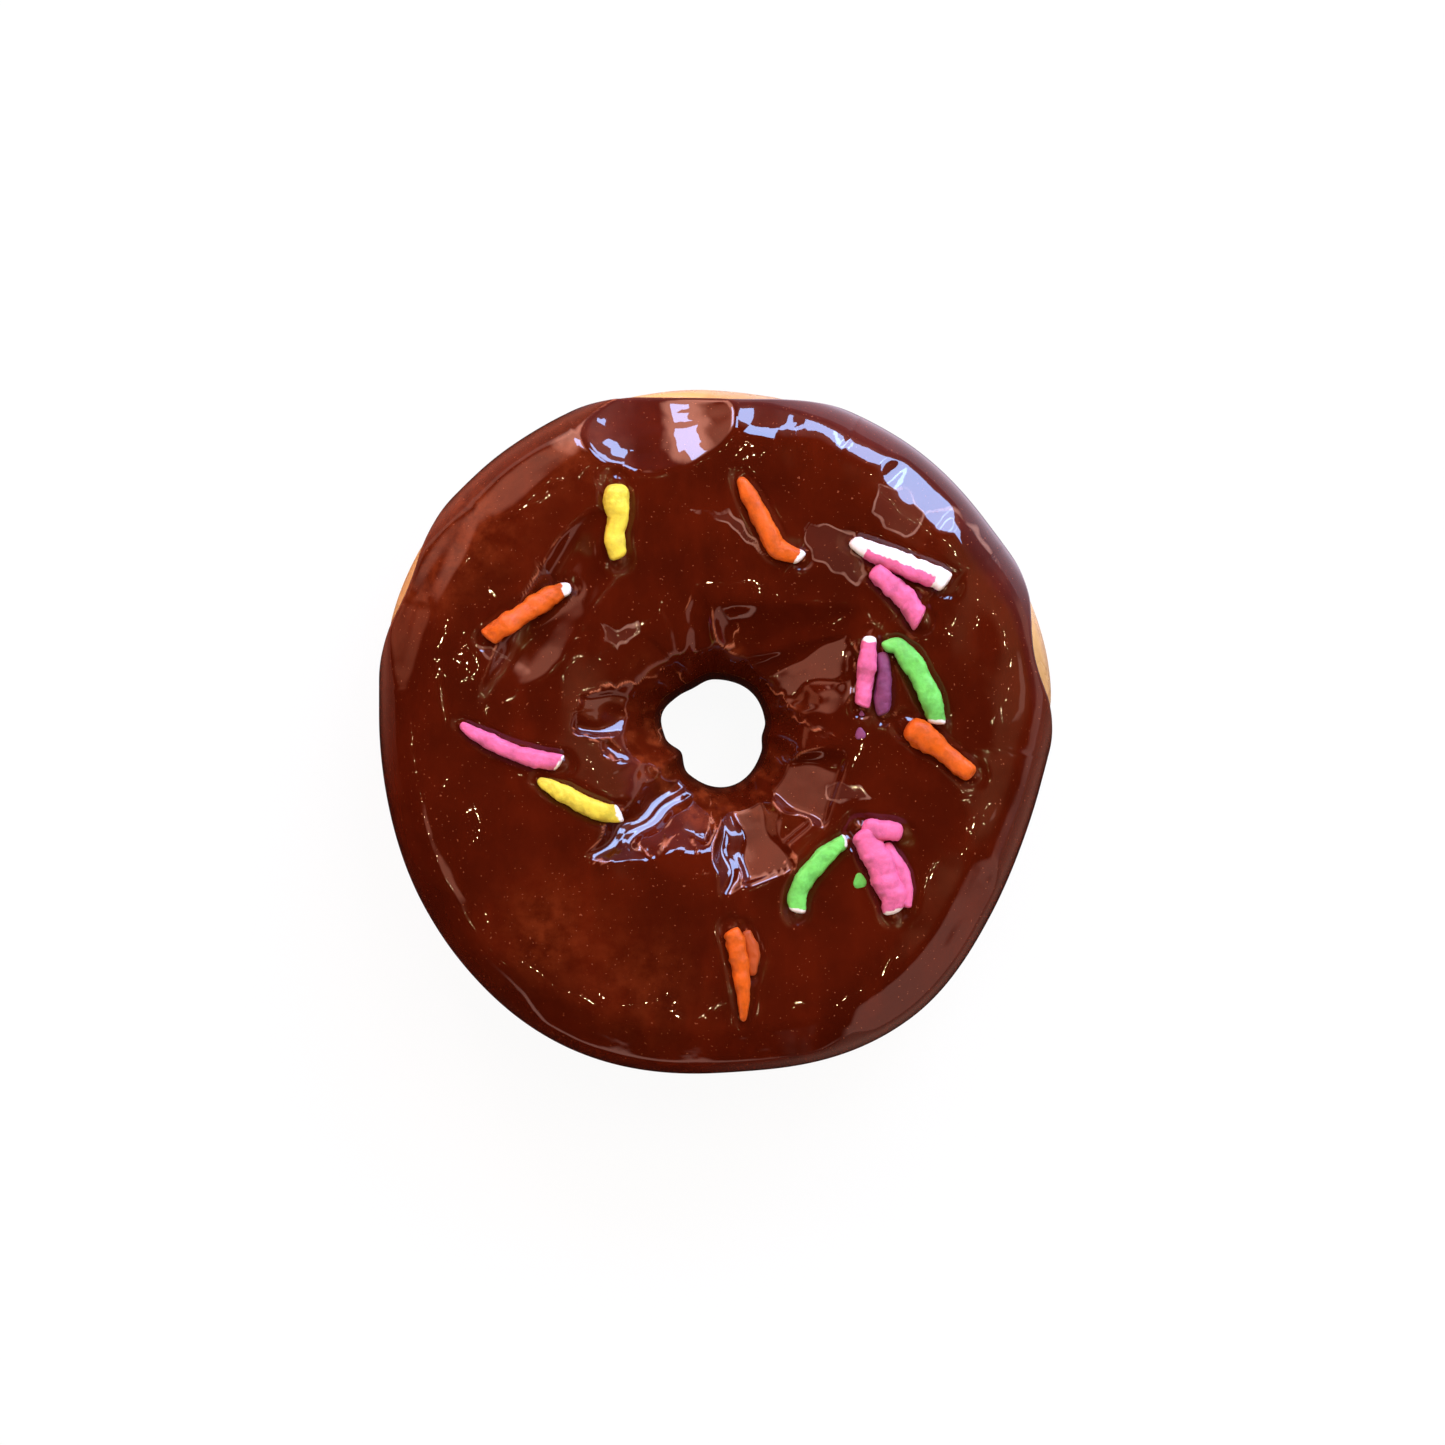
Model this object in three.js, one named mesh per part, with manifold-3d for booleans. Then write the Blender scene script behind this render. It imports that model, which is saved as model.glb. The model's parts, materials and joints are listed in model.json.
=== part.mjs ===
// A glazed ceramic copy of a ring doughnut: a flat-based ring of dough with a puckered hole, and over it a
// thin coat of chocolate frosting that carries hand-rolled sprinkles. Millimetres, +Z up, with the origin
// under the middle of the ring.
import * as THREE from "three";
import { mergeVertices } from "three/addons/utils/BufferGeometryUtils.js";
import Module from "manifold-3d";

// ---- Driving dimensions ---------------------------------------------------------------------------------
const OUTER_RADIUS = 51.3; // mean radius of the outline
const HOLE_RADIUS = 7.55; // mean radius of the hole at its narrowest
const CROWN = 30; // height of the frosting's crown above the base
const WAIST = 13; // height of the widest girth
const SINK = 0.9; // how far the round section would reach under the flat base
const OUTER_SQUARENESS = 4.2; // 2 is a round section, and more is a fuller one
const INNER_SQUARENESS = 2.5; // the same for the side of the hole
const UNDER_SQUARENESS = 2.7; // the same under the widest girth
const COAT = 1.2; // from the dough to the frosting's outer skin
const GAP = 0.3; // clearance between the dough and the frosting
const LIP_GAP = 0.2; // further clearance under the frosting's outer lip
const EDGE_ROUND = 0.5; // the ridges round the folds and flats are rounded over this much

// ---- Resolution -----------------------------------------------------------------------------------------
const AROUND = 84; // stations round the ring
const SKIN_ROWS = { side: 6, crown: 20 }; // rows up the frosting's side and over its crown
const BED_ROWS = { side: 4, crown: 11 }; // the same for its underside, and for the dough under it
const SIDE_ROWS = 3; // rows up the dough's outer side to the frosting's edge
const ROW_CROWDING = 0.4; // how much closer the rows lie towards the hole
const SPRINKLE_SIDES = 6;
const SPRINKLE_STATIONS = 5;

// ---- Unevenness of the hand-made ring -------------------------------------------------------------------
// Each bump is a swelling, or a dent if negative, centred on an angle, with a half-width in degrees.
const OUTLINE_BUMPS = [
  { at: 340, half: 36, by: -2.2 },
  { at: 298, half: 28, by: 1.1 },
  { at: 245, half: 34, by: 1.25 },
  { at: 188, half: 34, by: -1.05 },
  { at: 132, half: 46, by: 1.2 },
  { at: 82, half: 14, by: -0.4 },
  { at: 58, half: 24, by: 0.5 },
];
const HOLE_BUMPS = [
  { at: 285, half: 60, by: 1.15 },
  { at: 213, half: 26, by: -1.45 },
  { at: 164, half: 28, by: 0.75 },
  { at: 118, half: 26, by: -0.5 },
  { at: 45, half: 40, by: 0.25 },
  { at: 352, half: 18, by: -0.5 },
];
// Where the frosting stops short and the dough shows, the frosting's edge climbs by so many degrees.
const BARE_PLACES = [
  { at: 14, half: 24, by: 42 },
  { at: 92, half: 34, by: 41 },
  { at: 155, half: 22, by: 37 },
];
const EDGE_ANGLE = -5; // the frosting's outer edge, in degrees round the section from the waist
const EDGE_WAVES = [
  { times: 5, phase: 40, by: 3.5 },
  { times: 11, phase: 10, by: 1.8 },
];
const SHOULDER_ANGLE = 62; // where the side's rows meet the crown's, above the frosting's highest edge
const THROAT_ANGLE = 192; // the frosting's inner edge, just under the narrowest part of the hole
// The dough's rows from there to its outer side. The base is flat between the fourth and the sixth.
const BASE_ANGLES = [192, 214, 232, 249, 270, 291, 308, 323, 338];

// Folds pinched into the clay round the hole: a channel from its outer end to its inner one, with its fall
// inwards, its tilt to the left, its half width at both ends, how steeply and how softly its left and right
// sides rise, and how deep its outer end is pressed in. Left and right are as seen from the outer end.
const FOLDS = [
  {
    name: "lower_left_valley",
    from: [-18.6, -19.4],
    to: [-4.6, -7.2],
    fall: 0.5,
    tilt: 0.06,
    half: [0.15, 0.35],
    sides: [1.3, 0.55],
    soft: 0.6,
  },
  {
    name: "lower_left_groove",
    from: [-13.2, -17],
    to: [-4, -9.5],
    fall: 0.48,
    tilt: 0.1,
    half: [0.15, 0.3],
    sides: [0.6, 1.2],
    soft: 0.5,
    drop: 1.9,
  },
  {
    name: "bottom_valley",
    from: [2, -25],
    to: [2.5, -9.5],
    fall: 0.43,
    tilt: -0.04,
    half: [0.3, 0.8],
    sides: [1.2, 0.9],
    soft: 0.6,
  },
  {
    name: "bottom_groove",
    from: [0.6, -20],
    to: [2.4, -11.5],
    fall: 0.43,
    tilt: 0.02,
    half: [0.2, 0.4],
    sides: [1.1, 1],
    soft: 0.4,
  },
  {
    name: "bottom_floor",
    from: [-4.2, -15.4],
    to: [-1.4, -8.4],
    fall: 0.32,
    tilt: 0,
    half: [2.2, 1.8],
    sides: [1.2, 1.2],
    soft: 0.4,
    drop: 0.9,
  },
  {
    name: "left_valley",
    from: [-20.6, 0],
    to: [-9.5, 0.9],
    fall: 0.36,
    tilt: 0.36,
    half: [0.25, 0.4],
    sides: [0.8, 0.85],
    soft: 0.5,
    drop: 0.8,
  },
  {
    name: "left_dimple",
    from: [-16.4, -3],
    to: [-9, -4.6],
    fall: 0.24,
    tilt: 0.44,
    half: [0.5, 0.8],
    sides: [0.9, 0.8],
    soft: 0.4,
    drop: 0.6,
  },
  {
    name: "left_upper_plane",
    from: [-19.8, 3.8],
    to: [-9, 3.2],
    fall: 0.42,
    tilt: 0,
    half: [0.9, 1.2],
    sides: [0.9, 0.8],
    soft: 0.4,
    drop: 0.3,
  },
  {
    name: "upper_groove",
    from: [-2.6, 20.5],
    to: [-1.9, 9],
    fall: 0.52,
    tilt: 0,
    half: [0.4, 0.6],
    sides: [0.9, 0.9],
    soft: 0.8,
  },
  {
    name: "upper_groove_right",
    from: [1.6, 19],
    to: [1.2, 9.5],
    fall: 0.5,
    tilt: 0,
    half: [0.4, 0.5],
    sides: [0.9, 0.9],
    soft: 0.8,
  },
  {
    name: "upper_facet",
    from: [-5.9, 18.8],
    to: [-3.9, 10],
    fall: 0.44,
    tilt: 0.08,
    half: [1.3, 1],
    sides: [0.9, 0.9],
    soft: 0.4,
  },
  {
    name: "long_fold",
    from: [22.5, 17.2],
    to: [4.8, 11.4],
    fall: 0.3,
    tilt: 0.16,
    half: [0.5, 1.2],
    sides: [0.5, 0.6],
    soft: 1.6,
  },
  {
    name: "long_fold_lower",
    from: [19, 14],
    to: [6.6, 9.8],
    fall: 0.38,
    tilt: -0.02,
    half: [0.2, 0.8],
    sides: [0.55, 0.6],
    soft: 1.4,
  },
  {
    name: "right_facet_upper",
    from: [20.6, 11.4],
    to: [8.4, 6.6],
    fall: 0.45,
    tilt: 0,
    half: [2.5, 1.6],
    sides: [0.8, 1],
    soft: 0.8,
    drop: 1,
  },
  {
    name: "right_facet_lower",
    from: [17.4, -9.6],
    to: [7.2, -6.6],
    fall: 0.46,
    tilt: -0.1,
    half: [3.6, 1.4],
    sides: [0.9, 1],
    soft: 0.8,
    drop: 1,
  },
  {
    name: "bottom_right_facet",
    from: [7.7, -21.6],
    to: [4, -9],
    fall: 0.45,
    tilt: 0.13,
    half: [2.6, 0.9],
    sides: [1, 0.9],
    soft: 0.9,
    drop: 0.8,
  },
  {
    name: "lower_right_gap",
    from: [11.8, -15.2],
    to: [6.6, -9],
    fall: 0.24,
    tilt: 0,
    half: [1.2, 0.6],
    sides: [0.8, 0.8],
    soft: 0.9,
    drop: 1.3,
  },
  {
    name: "left_lower_facet",
    from: [-15, -8.6],
    to: [-7.2, -4.6],
    fall: 0.46,
    tilt: 0,
    half: [1.6, 1.4],
    sides: [0.8, 0.8],
    soft: 0.5,
  },
  {
    name: "upper_left_facet",
    from: [-10.8, 11.4],
    to: [-5.6, 6.4],
    fall: 0.55,
    tilt: 0,
    half: [2, 1.4],
    sides: [0.8, 0.9],
    soft: 0.4,
  },
  {
    name: "orange_left_bed",
    from: [-18.8, 16.6],
    to: [-23.1, 19.2],
    fall: 0.37,
    tilt: 0,
    half: [6, 6],
    sides: [0.22, 0.4],
    soft: 3,
  },
];
const FOLD_END = 0.25; // how sharply a fold's floor curls up past its inner end
const FOLD_BACK = 1.2; // how steeply the outer end of a pressed-in fold rises
const THROAT_REACH = 4; // from the hole's edge to where the bevel round the hole begins
const THROAT_DROP = 6; // height of that place under the crown
const THROAT_FALL = 1.3; // fall of the bevel round the hole
// Flats pressed into the shoulder: each starts at a distance from the axis and falls outwards. A bevel bows
// round the ring with the outline.
const FLATS = [
  { name: "top_dish", azimuth: 100, from: 39, fall: 0.54, half: 0, rise: 1, soft: 30 },
  { name: "top_right_bevel", azimuth: 68, from: 46.8, fall: 0.5, half: 12, rise: 0.5, soft: 6, bow: true },
  { name: "window_press", azimuth: 49, from: 43.6, fall: 0.51, half: 4.5, rise: 0.6, soft: 3, bow: true },
  { name: "upper_left_shoulder", azimuth: 128, from: 45.4, fall: 0.5, half: 9, rise: 0.3, soft: 6 },
  { name: "left_upper_shoulder", azimuth: 150, from: 45.4, fall: 0.62, half: 9, rise: 0.4, soft: 6 },
  { name: "left_shoulder", azimuth: 167, from: 44.8, fall: 0.66, half: 7, rise: 0.4, soft: 4 },
  { name: "lower_left_bevel", azimuth: 218, from: 47.4, fall: 1.02, half: 17, rise: 0.4, soft: 6, bow: true },
  { name: "bottom_shoulder", azimuth: 264, from: 45.4, fall: 0.75, half: 20, rise: 0.4, soft: 6, bow: true },
  { name: "low_right_bevel", azimuth: 314, from: 44.6, fall: 0.74, half: 13, rise: 0.6, soft: 3, bow: true },
  { name: "right_shoulder", azimuth: 345, from: 45.2, fall: 0.66, half: 9, rise: 0.4, soft: 6 },
];

// ---- Sprinkles ------------------------------------------------------------------------------------------
// Each is a short roll along a line of points on the frosting, with its width at each point.
const SPRINKLES = [
  {
    name: "yellow_top",
    path: [[-14.8, 36.6], [-14.7, 34.6], [-14.4, 31.5], [-14.9, 28.6], [-14.3, 25.4]],
    width: [3.3, 3.8, 3, 3, 2.7],
  },
  {
    name: "orange_top",
    path: [[3.7, 37.6], [5.2, 34.6], [7.4, 30.4], [9.4, 27], [13, 25.4]],
    width: [1.6, 2.7, 2.8, 3, 2],
  },
  {
    name: "white_pair",
    path: [[20.2, 28.2], [23.2, 26.6], [27.6, 24.7], [32, 23], [34.6, 21.8]],
    width: [1.8, 3, 3.3, 3.5, 3.1],
  },
  {
    name: "pink_pair",
    path: [[23.4, 24], [25.8, 21.9], [28.6, 19.2], [30.6, 16.2]],
    width: [2.8, 3.1, 3.3, 3.4],
  },
  {
    name: "pink_upright",
    path: [[23, 14], [22.8, 11.6], [22.4, 8], [21.9, 3.4]],
    width: [2, 2.8, 2.5, 2.4],
  },
  {
    name: "plum_upright",
    path: [[24.9, 11.6], [25.2, 8], [24.9, 4.6], [25, 2.2]],
    width: [1.6, 2.1, 2.5, 1.9],
    lift: 0,
  },
  {
    name: "green_right",
    path: [[24.9, 12.2], [27.3, 12.2], [29.6, 9.4], [32.1, 4.6], [33, 0.8]],
    width: [1.6, 3.2, 3, 3.2, 2.4],
    lift: 0.42,
  },
  {
    name: "orange_right",
    path: [[28.4, 0.6], [30.4, -0.6], [33.2, -2.6], [36, -4.9], [38.4, -6.8]],
    width: [3.3, 4.1, 2.9, 2.9, 2.7],
  },
  {
    name: "green_low",
    path: [[19.6, -16.4], [17.2, -18], [13.8, -21.6], [12.3, -24.6], [12.1, -27.2]],
    width: [2, 2.7, 2.8, 2.8, 2.4],
  },
  {
    name: "pink_low",
    path: [[21.4, -15], [23, -17.2], [25.2, -21.4], [26.2, -24.6], [26.5, -27.4]],
    width: [3.4, 4, 4.2, 4.2, 2.8],
  },
  {
    name: "pink_low_ridge",
    path: [[25, -17], [27.4, -20.6], [28.3, -24], [28.2, -26.4]],
    width: [2, 2.3, 2.4, 2],
    lift: 0.05,
  },
  {
    name: "pink_cross",
    path: [[21.8, -14.3], [24, -14.8], [26, -15], [27.9, -15.4]],
    width: [2.4, 3, 2.9, 2.6],
    lift: 0.3,
  },
  {
    name: "orange_low",
    path: [[2.4, -29.6], [3.3, -32.6], [3.9, -36.4], [4.2, -40], [4.2, -43.4]],
    width: [2.6, 2.8, 2.5, 1.9, 0.9],
  },
  {
    name: "orange_low_smear",
    path: [[4.6, -29.8], [5.6, -33], [5.5, -36.6]],
    width: [1.6, 2, 1.2],
    lift: -0.1,
  },
  {
    name: "orange_left",
    path: [[-34, 13.6], [-31.4, 15.4], [-28.2, 17.6], [-24.8, 19.8], [-21.4, 21.2]],
    width: [2.7, 3.2, 3.1, 3.3, 1.5],
  },
  {
    name: "pink_left",
    path: [[-37.9, 0.9], [-35.6, -0.6], [-31.6, -2.6], [-27, -4.2], [-22.9, -5]],
    width: [1.2, 2.2, 2.4, 2.7, 2.5],
  },
  {
    name: "yellow_left",
    path: [[-26.4, -7.4], [-23.6, -8.9], [-20, -10.8], [-16.6, -12.2], [-13.9, -12.4]],
    width: [1.2, 2.5, 2.7, 2.8, 2.5],
  },
];
const SPRINKLE_LIFT = 0.2; // height of a sprinkle's middle over the frosting, as a share of its width
const SPRINKLE_DEPTH = 0.5; // a sprinkle sinks no deeper than this into the frosting
const BLUNT_END = 0.62; // a sprinkle's end is this share of its width

// ---- Small functions ------------------------------------------------------------------------------------
const radians = (degrees) => (degrees * Math.PI) / 180;
const signedPower = (value, exponent) => Math.sign(value) * Math.abs(value) ** exponent;
const mix = (a, b, share) => a + (b - a) * share;

/** Degrees from one angle to another, from -180 to 180. */
const turn = (from, to) => ((((to - from) % 360) + 540) % 360) - 180;

/** The sum at an angle of bumps that each rise and fall as a squared cosine. */
function bumpsAt(bumps, degrees) {
  return bumps.reduce((sum, { at, half, by }) => {
    const share = Math.min(1, Math.abs(turn(at, degrees)) / half);
    return sum + by * Math.cos((share * Math.PI) / 2) ** 2;
  }, 0);
}

/** The smaller of two heights, with the ridge between them rounded. */
function roundedMin(a, b, rounding) {
  const overlap = Math.max(rounding - Math.abs(a - b), 0) / rounding;
  return Math.min(a, b) - (overlap * overlap * rounding) / 4;
}

const outlineRadius = (degrees) => OUTER_RADIUS + bumpsAt(OUTLINE_BUMPS, degrees);
const holeRadius = (degrees) => HOLE_RADIUS + bumpsAt(HOLE_BUMPS, degrees);

/** 0 where the frosting covers the waist, up to 1 where the dough is bare. */
const bareness = (degrees) => Math.min(1, bumpsAt(BARE_PLACES, degrees) / 30);

/** The ring's section at an angle: its middle radius, half width and rise over the waist, less an inset. */
function sectionAt(degrees, inset) {
  const outer = outlineRadius(degrees) + COAT * bareness(degrees) * 0.8;
  const inner = holeRadius(degrees);
  return { middle: (outer + inner) / 2, half: (outer - inner) / 2 - inset, rise: CROWN - WAIST - inset };
}

/** How full the section is on its outer side, on the side of the hole, and under the girth. */
function squareness(outward, upward = 1) {
  if (upward < 0) return UNDER_SQUARENESS;
  return outward >= 0 ? OUTER_SQUARENESS : INNER_SQUARENESS;
}

/** Height of the plain round crown, before folds and flats, over a point of the plan. */
function crownHeight(x, y, inset) {
  const { middle, half, rise } = sectionAt(THREE.MathUtils.radToDeg(Math.atan2(y, x)), inset);
  const outward = (Math.hypot(x, y) - middle) / half;
  const power = squareness(outward);
  return WAIST + rise * (1 - Math.min(1, Math.abs(outward)) ** power) ** (1 / power);
}

/** How far a side has risen at a distance from where it starts. */
const sideRise = (off, soft) => Math.hypot(Math.max(0, off), soft) - soft;

/** Height of one fold's floor and sides over a point. */
function foldHeight({ from, to, fall, tilt, half, sides, soft, drop = 0 }, x, y) {
  const span = Math.hypot(to[0] - from[0], to[1] - from[1]);
  const ahead = [(to[0] - from[0]) / span, (to[1] - from[1]) / span];
  const along = (x - from[0]) * ahead[0] + (y - from[1]) * ahead[1];
  const aside = (y - from[1]) * ahead[0] - (x - from[0]) * ahead[1];
  const reach = mix(half[0], half[1], THREE.MathUtils.clamp(along / span, 0, 1.5));
  const side = sides[aside > 0 ? 0 : 1] * sideRise(Math.abs(aside) - reach, soft);
  const inner = FOLD_END * Math.max(0, along - span - 1) ** 2;
  const outer = drop > 0 ? FOLD_BACK * Math.max(0, -along) : 0;
  return crownHeight(from[0], from[1], 0) - drop - fall * along - tilt * aside + side + inner + outer;
}

/** Height of one flat over a point: a plane that falls outwards, with rising sides, or a bevel. */
function flatHeight({ azimuth, from, fall, half, rise, soft, bow }, x, y) {
  const a = radians(azimuth);
  let along = x * Math.cos(a) + y * Math.sin(a);
  let aside = Math.abs(y * Math.cos(a) - x * Math.sin(a));
  if (bow) {
    const radius = Math.hypot(x, y);
    const degrees = THREE.MathUtils.radToDeg(Math.atan2(y, x));
    aside = radius * Math.abs(Math.atan2(aside, along));
    along = radius - bumpsAt(OUTLINE_BUMPS, degrees) + bumpsAt(OUTLINE_BUMPS, azimuth);
  }
  const start = crownHeight(from * Math.cos(a), from * Math.sin(a), 0);
  return start - fall * (along - from) + rise * sideRise(aside - half, soft);
}

/** Height of the bevel round the hole over a point. */
function throatHeight(x, y) {
  const reach = Math.hypot(x, y) - holeRadius(THREE.MathUtils.radToDeg(Math.atan2(y, x)));
  return CROWN - THROAT_DROP + THROAT_FALL * (reach - THROAT_REACH);
}

/** Lowers a height to the folds and flats over a point of the plan. */
function pressed(height, x, y, inset) {
  const folds = FOLDS.map((fold) => foldHeight(fold, x, y));
  const flats = FLATS.map((flat) => flatHeight(flat, x, y));
  return [throatHeight(x, y), ...folds, ...flats].reduce(
    (low, other) => roundedMin(low, other - inset * 1.2, EDGE_ROUND),
    height,
  );
}

/** Height of the frosting's skin over a point of the plan. */
const skinHeight = (x, y) => pressed(crownHeight(x, y, 0), x, y, 0);

/** A point on the ring's skin, or inset from it, at an angle round the ring and one round the section. */
function ringPoint(degrees, sectionDegrees, inset) {
  const { middle, half, rise } = sectionAt(degrees, inset);
  const round = radians(sectionDegrees);
  const exponent = 2 / squareness(Math.cos(round), Math.sin(round));
  const radius = middle + half * signedPower(Math.cos(round), exponent);
  const up = Math.sin(round) >= 0;
  const reach = up ? rise : WAIST + SINK;
  const x = radius * Math.cos(radians(degrees));
  const y = radius * Math.sin(radians(degrees));
  const z = WAIST + reach * signedPower(Math.sin(round), exponent);
  return [x, y, up ? pressed(z, x, y, inset) : Math.max(0, z)];
}

/** A skin through rows of points at each station. A closed one joins the last row to the first. */
function skinFromLoops(loops, closed) {
  const rows = loops[0].length;
  const index = [];
  loops.forEach((_, i) => {
    const next = (i + 1) % loops.length;
    for (let j = 0; j < (closed ? rows : rows - 1); j++) {
      const k = (j + 1) % rows;
      const [a, b, c, d] = [i * rows + j, next * rows + j, next * rows + k, i * rows + k];
      index.push(a, b, c, a, c, d);
    }
  });
  return new THREE.BufferGeometry()
    .setAttribute("position", new THREE.Float32BufferAttribute(loops.flat(2), 3))
    .setIndex(index);
}

const stationAngles = Array.from({ length: AROUND }, (_, i) => (i * 360) / AROUND);
const steps = (count) => Array.from({ length: count + 1 }, (_, i) => i / count);

/** The frosting's outer edge at an angle, in degrees round the section. */
function edgeAngle(degrees) {
  const waves = EDGE_WAVES.reduce(
    (sum, { times, phase, by }) => sum + by * Math.sin(radians(times * degrees + phase)),
    0,
  );
  return EDGE_ANGLE + waves + bumpsAt(BARE_PLACES, degrees);
}

/** Angles round the section and the length of the mean section up to each of them. */
const sectionTable = steps(1400).reduce((rows, share) => {
  const angle = mix(-80, 200, share);
  const round = radians(angle);
  const exponent = 2 / squareness(Math.cos(round), Math.sin(round));
  const x = ((OUTER_RADIUS - HOLE_RADIUS) / 2) * signedPower(Math.cos(round), exponent);
  const z = (CROWN - WAIST) * signedPower(Math.sin(round), exponent);
  const last = rows.at(-1);
  const length = last ? last.length + Math.hypot(x - last.x, z - last.z) : 0;
  return [...rows, { angle, x, z, length }];
}, []);

/** The value of one column of the section's table where another has a given value. */
function lookUp(from, to, value) {
  const k = Math.max(1, sectionTable.findIndex((row) => row[from] >= value));
  const [a, b] = [sectionTable[k - 1], sectionTable[k]];
  return mix(a[to], b[to], (value - a[from]) / (b[from] - a[from]));
}

/** The angle at a share of the way along the section from one angle to another. */
const angleAlong = (from, to, share) =>
  lookUp("length", "angle", mix(lookUp("angle", "length", from), lookUp("angle", "length", to), share));

// ---- The dough ring and the frosting ----------------------------------------------------------------------
/** Rows of points at each station, from the frosting's outer edge to its inner one, on an inset skin. */
function coveredRows({ side, crown }, inset) {
  return stationAngles.map((degrees) => {
    const up = steps(side).map((share) => angleAlong(edgeAngle(degrees), SHOULDER_ANGLE, share));
    const over = steps(crown).map((share) => {
      const closer = share + ROW_CROWDING * share * (1 - share);
      return angleAlong(SHOULDER_ANGLE, THROAT_ANGLE, closer);
    });
    return [...up.slice(0, -1), ...over].map((angle) => ringPoint(degrees, angle, inset));
  });
}

/** The dough's rows at a station, from the frosting's inner edge under the base and up to its outer edge. */
function baseRows(degrees) {
  const last = BASE_ANGLES.at(-1);
  const side = steps(SIDE_ROWS).map((share) => mix(last, edgeAngle(degrees) + 360, share));
  return [...BASE_ANGLES.slice(1), ...side.slice(1, -1)].map((round) => ringPoint(degrees, round, COAT));
}

/** Rows of points moved squarely into the ring, by more under the frosting's outer lip. */
function sunk(loops) {
  const geometry = skinFromLoops(loops, false);
  geometry.computeVertexNormals();
  const outward = new THREE.Vector3();
  return loops.map((rows, i) =>
    rows.map((point, j) => {
      outward.fromBufferAttribute(geometry.attributes.normal, i * rows.length + j);
      const distance = GAP + LIP_GAP * Math.max(0, 1 - j / 4);
      return new THREE.Vector3(...point).addScaledVector(outward, -distance).toArray();
    }),
  );
}

const skin = coveredRows(SKIN_ROWS, 0);
const bed = coveredRows(BED_ROWS, COAT - GAP);

/** The dough's section at each station: the crown under the frosting, the hole, the base and the side. */
const doughLoops = sunk(bed).map((rows, i) => [...rows, ...baseRows(stationAngles[i])]);

/** The frosting's section at each station: along the underside and back over the skin. */
const frostingLoops = bed.map((rows, i) => [...rows, ...skin[i].toReversed()]);

// ---- Sprinkles ------------------------------------------------------------------------------------------
/** A closed roll along the sprinkle's path, blunt at both ends, lying on the frosting. */
function sprinkleGeometry({ path, width, lift = SPRINKLE_LIFT }) {
  const route = new THREE.CatmullRomCurve3(
    path.map(([x, y], i) => new THREE.Vector3(x, y, skinHeight(x, y) + lift * width[i])),
  );
  const up = new THREE.Vector3(0, 0, 1);
  const positions = [];
  const index = [];
  for (const share of steps(SPRINKLE_STATIONS)) {
    const centre = route.getPointAt(share);
    const ahead = route.getTangentAt(share);
    const aside = new THREE.Vector3().crossVectors(up, ahead).normalize();
    const over = new THREE.Vector3().crossVectors(ahead, aside);
    const atEnd = share === 0 || share === 1;
    const before = Math.min(Math.floor(share * (width.length - 1)), width.length - 2);
    const wide = mix(width[before], width[before + 1], share * (width.length - 1) - before);
    const radius = (wide / 2) * (atEnd ? BLUNT_END : 1);
    for (let j = 0; j < SPRINKLE_SIDES; j++) {
      const round = ((j + 0.5) * 2 * Math.PI) / SPRINKLE_SIDES;
      const point = centre
        .clone()
        .addScaledVector(aside, radius * Math.cos(round))
        .addScaledVector(over, radius * Math.sin(round));
      const lowest = skinHeight(point.x, point.y) - SPRINKLE_DEPTH;
      positions.push(point.x, point.y, Math.max(point.z, lowest));
    }
  }
  for (let i = 0; i < SPRINKLE_STATIONS; i++) {
    for (let j = 0; j < SPRINKLE_SIDES; j++) {
      const k = (j + 1) % SPRINKLE_SIDES;
      const [a, b] = [i * SPRINKLE_SIDES + j, i * SPRINKLE_SIDES + k];
      const [c, d] = [a + SPRINKLE_SIDES, b + SPRINKLE_SIDES];
      index.push(a, b, d, a, d, c);
    }
  }
  const last = SPRINKLE_STATIONS * SPRINKLE_SIDES;
  for (let j = 1; j < SPRINKLE_SIDES - 1; j++) {
    index.push(0, j + 1, j, last, last + j, last + j + 1);
  }
  return new THREE.BufferGeometry()
    .setAttribute("position", new THREE.Float32BufferAttribute(positions, 3))
    .setIndex(index);
}

// ---- Joining --------------------------------------------------------------------------------------------
const wasm = await Module();
wasm.setup();

/** A manifold-3d solid of a closed geometry, turned to face outwards. */
function solidOf(geometry) {
  const merged = mergeVertices(geometry, 1e-4);
  const vertProperties = merged.attributes.position.array;
  const build = (triVerts) => new wasm.Manifold(new wasm.Mesh({ numProp: 3, vertProperties, triVerts }));
  const triangles = new Uint32Array(merged.index.array);
  const solid = build(triangles);
  if (solid.volume() > 0) return solid;
  for (let i = 0; i < triangles.length; i += 3) {
    [triangles[i + 1], triangles[i + 2]] = [triangles[i + 2], triangles[i + 1]];
  }
  return build(triangles);
}

/** The geometry of a manifold-3d solid. */
function geometryOf(solid) {
  const mesh = solid.getMesh();
  const positions = new Float32Array(mesh.numVert * 3);
  for (let i = 0; i < mesh.numVert; i++) {
    positions.set(mesh.vertProperties.subarray(i * mesh.numProp, i * mesh.numProp + 3), i * 3);
  }
  return new THREE.BufferGeometry()
    .setAttribute("position", new THREE.BufferAttribute(positions, 3))
    .setIndex(new THREE.BufferAttribute(mesh.triVerts, 1));
}

const dough = solidOf(skinFromLoops(doughLoops, true));
const coat = solidOf(skinFromLoops(frostingLoops, true));
const frosting = SPRINKLES.reduce((whole, sprinkle) => whole.add(solidOf(sprinkleGeometry(sprinkle))), coat);

// ---- The scene graph ------------------------------------------------------------------------------------
const bakedGlaze = new THREE.MeshStandardMaterial({ color: 0xe0a552, roughness: 0.35, metalness: 0 });
const chocolateGlaze = new THREE.MeshStandardMaterial({ color: 0x5a1a08, roughness: 0.08, metalness: 0 });

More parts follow.
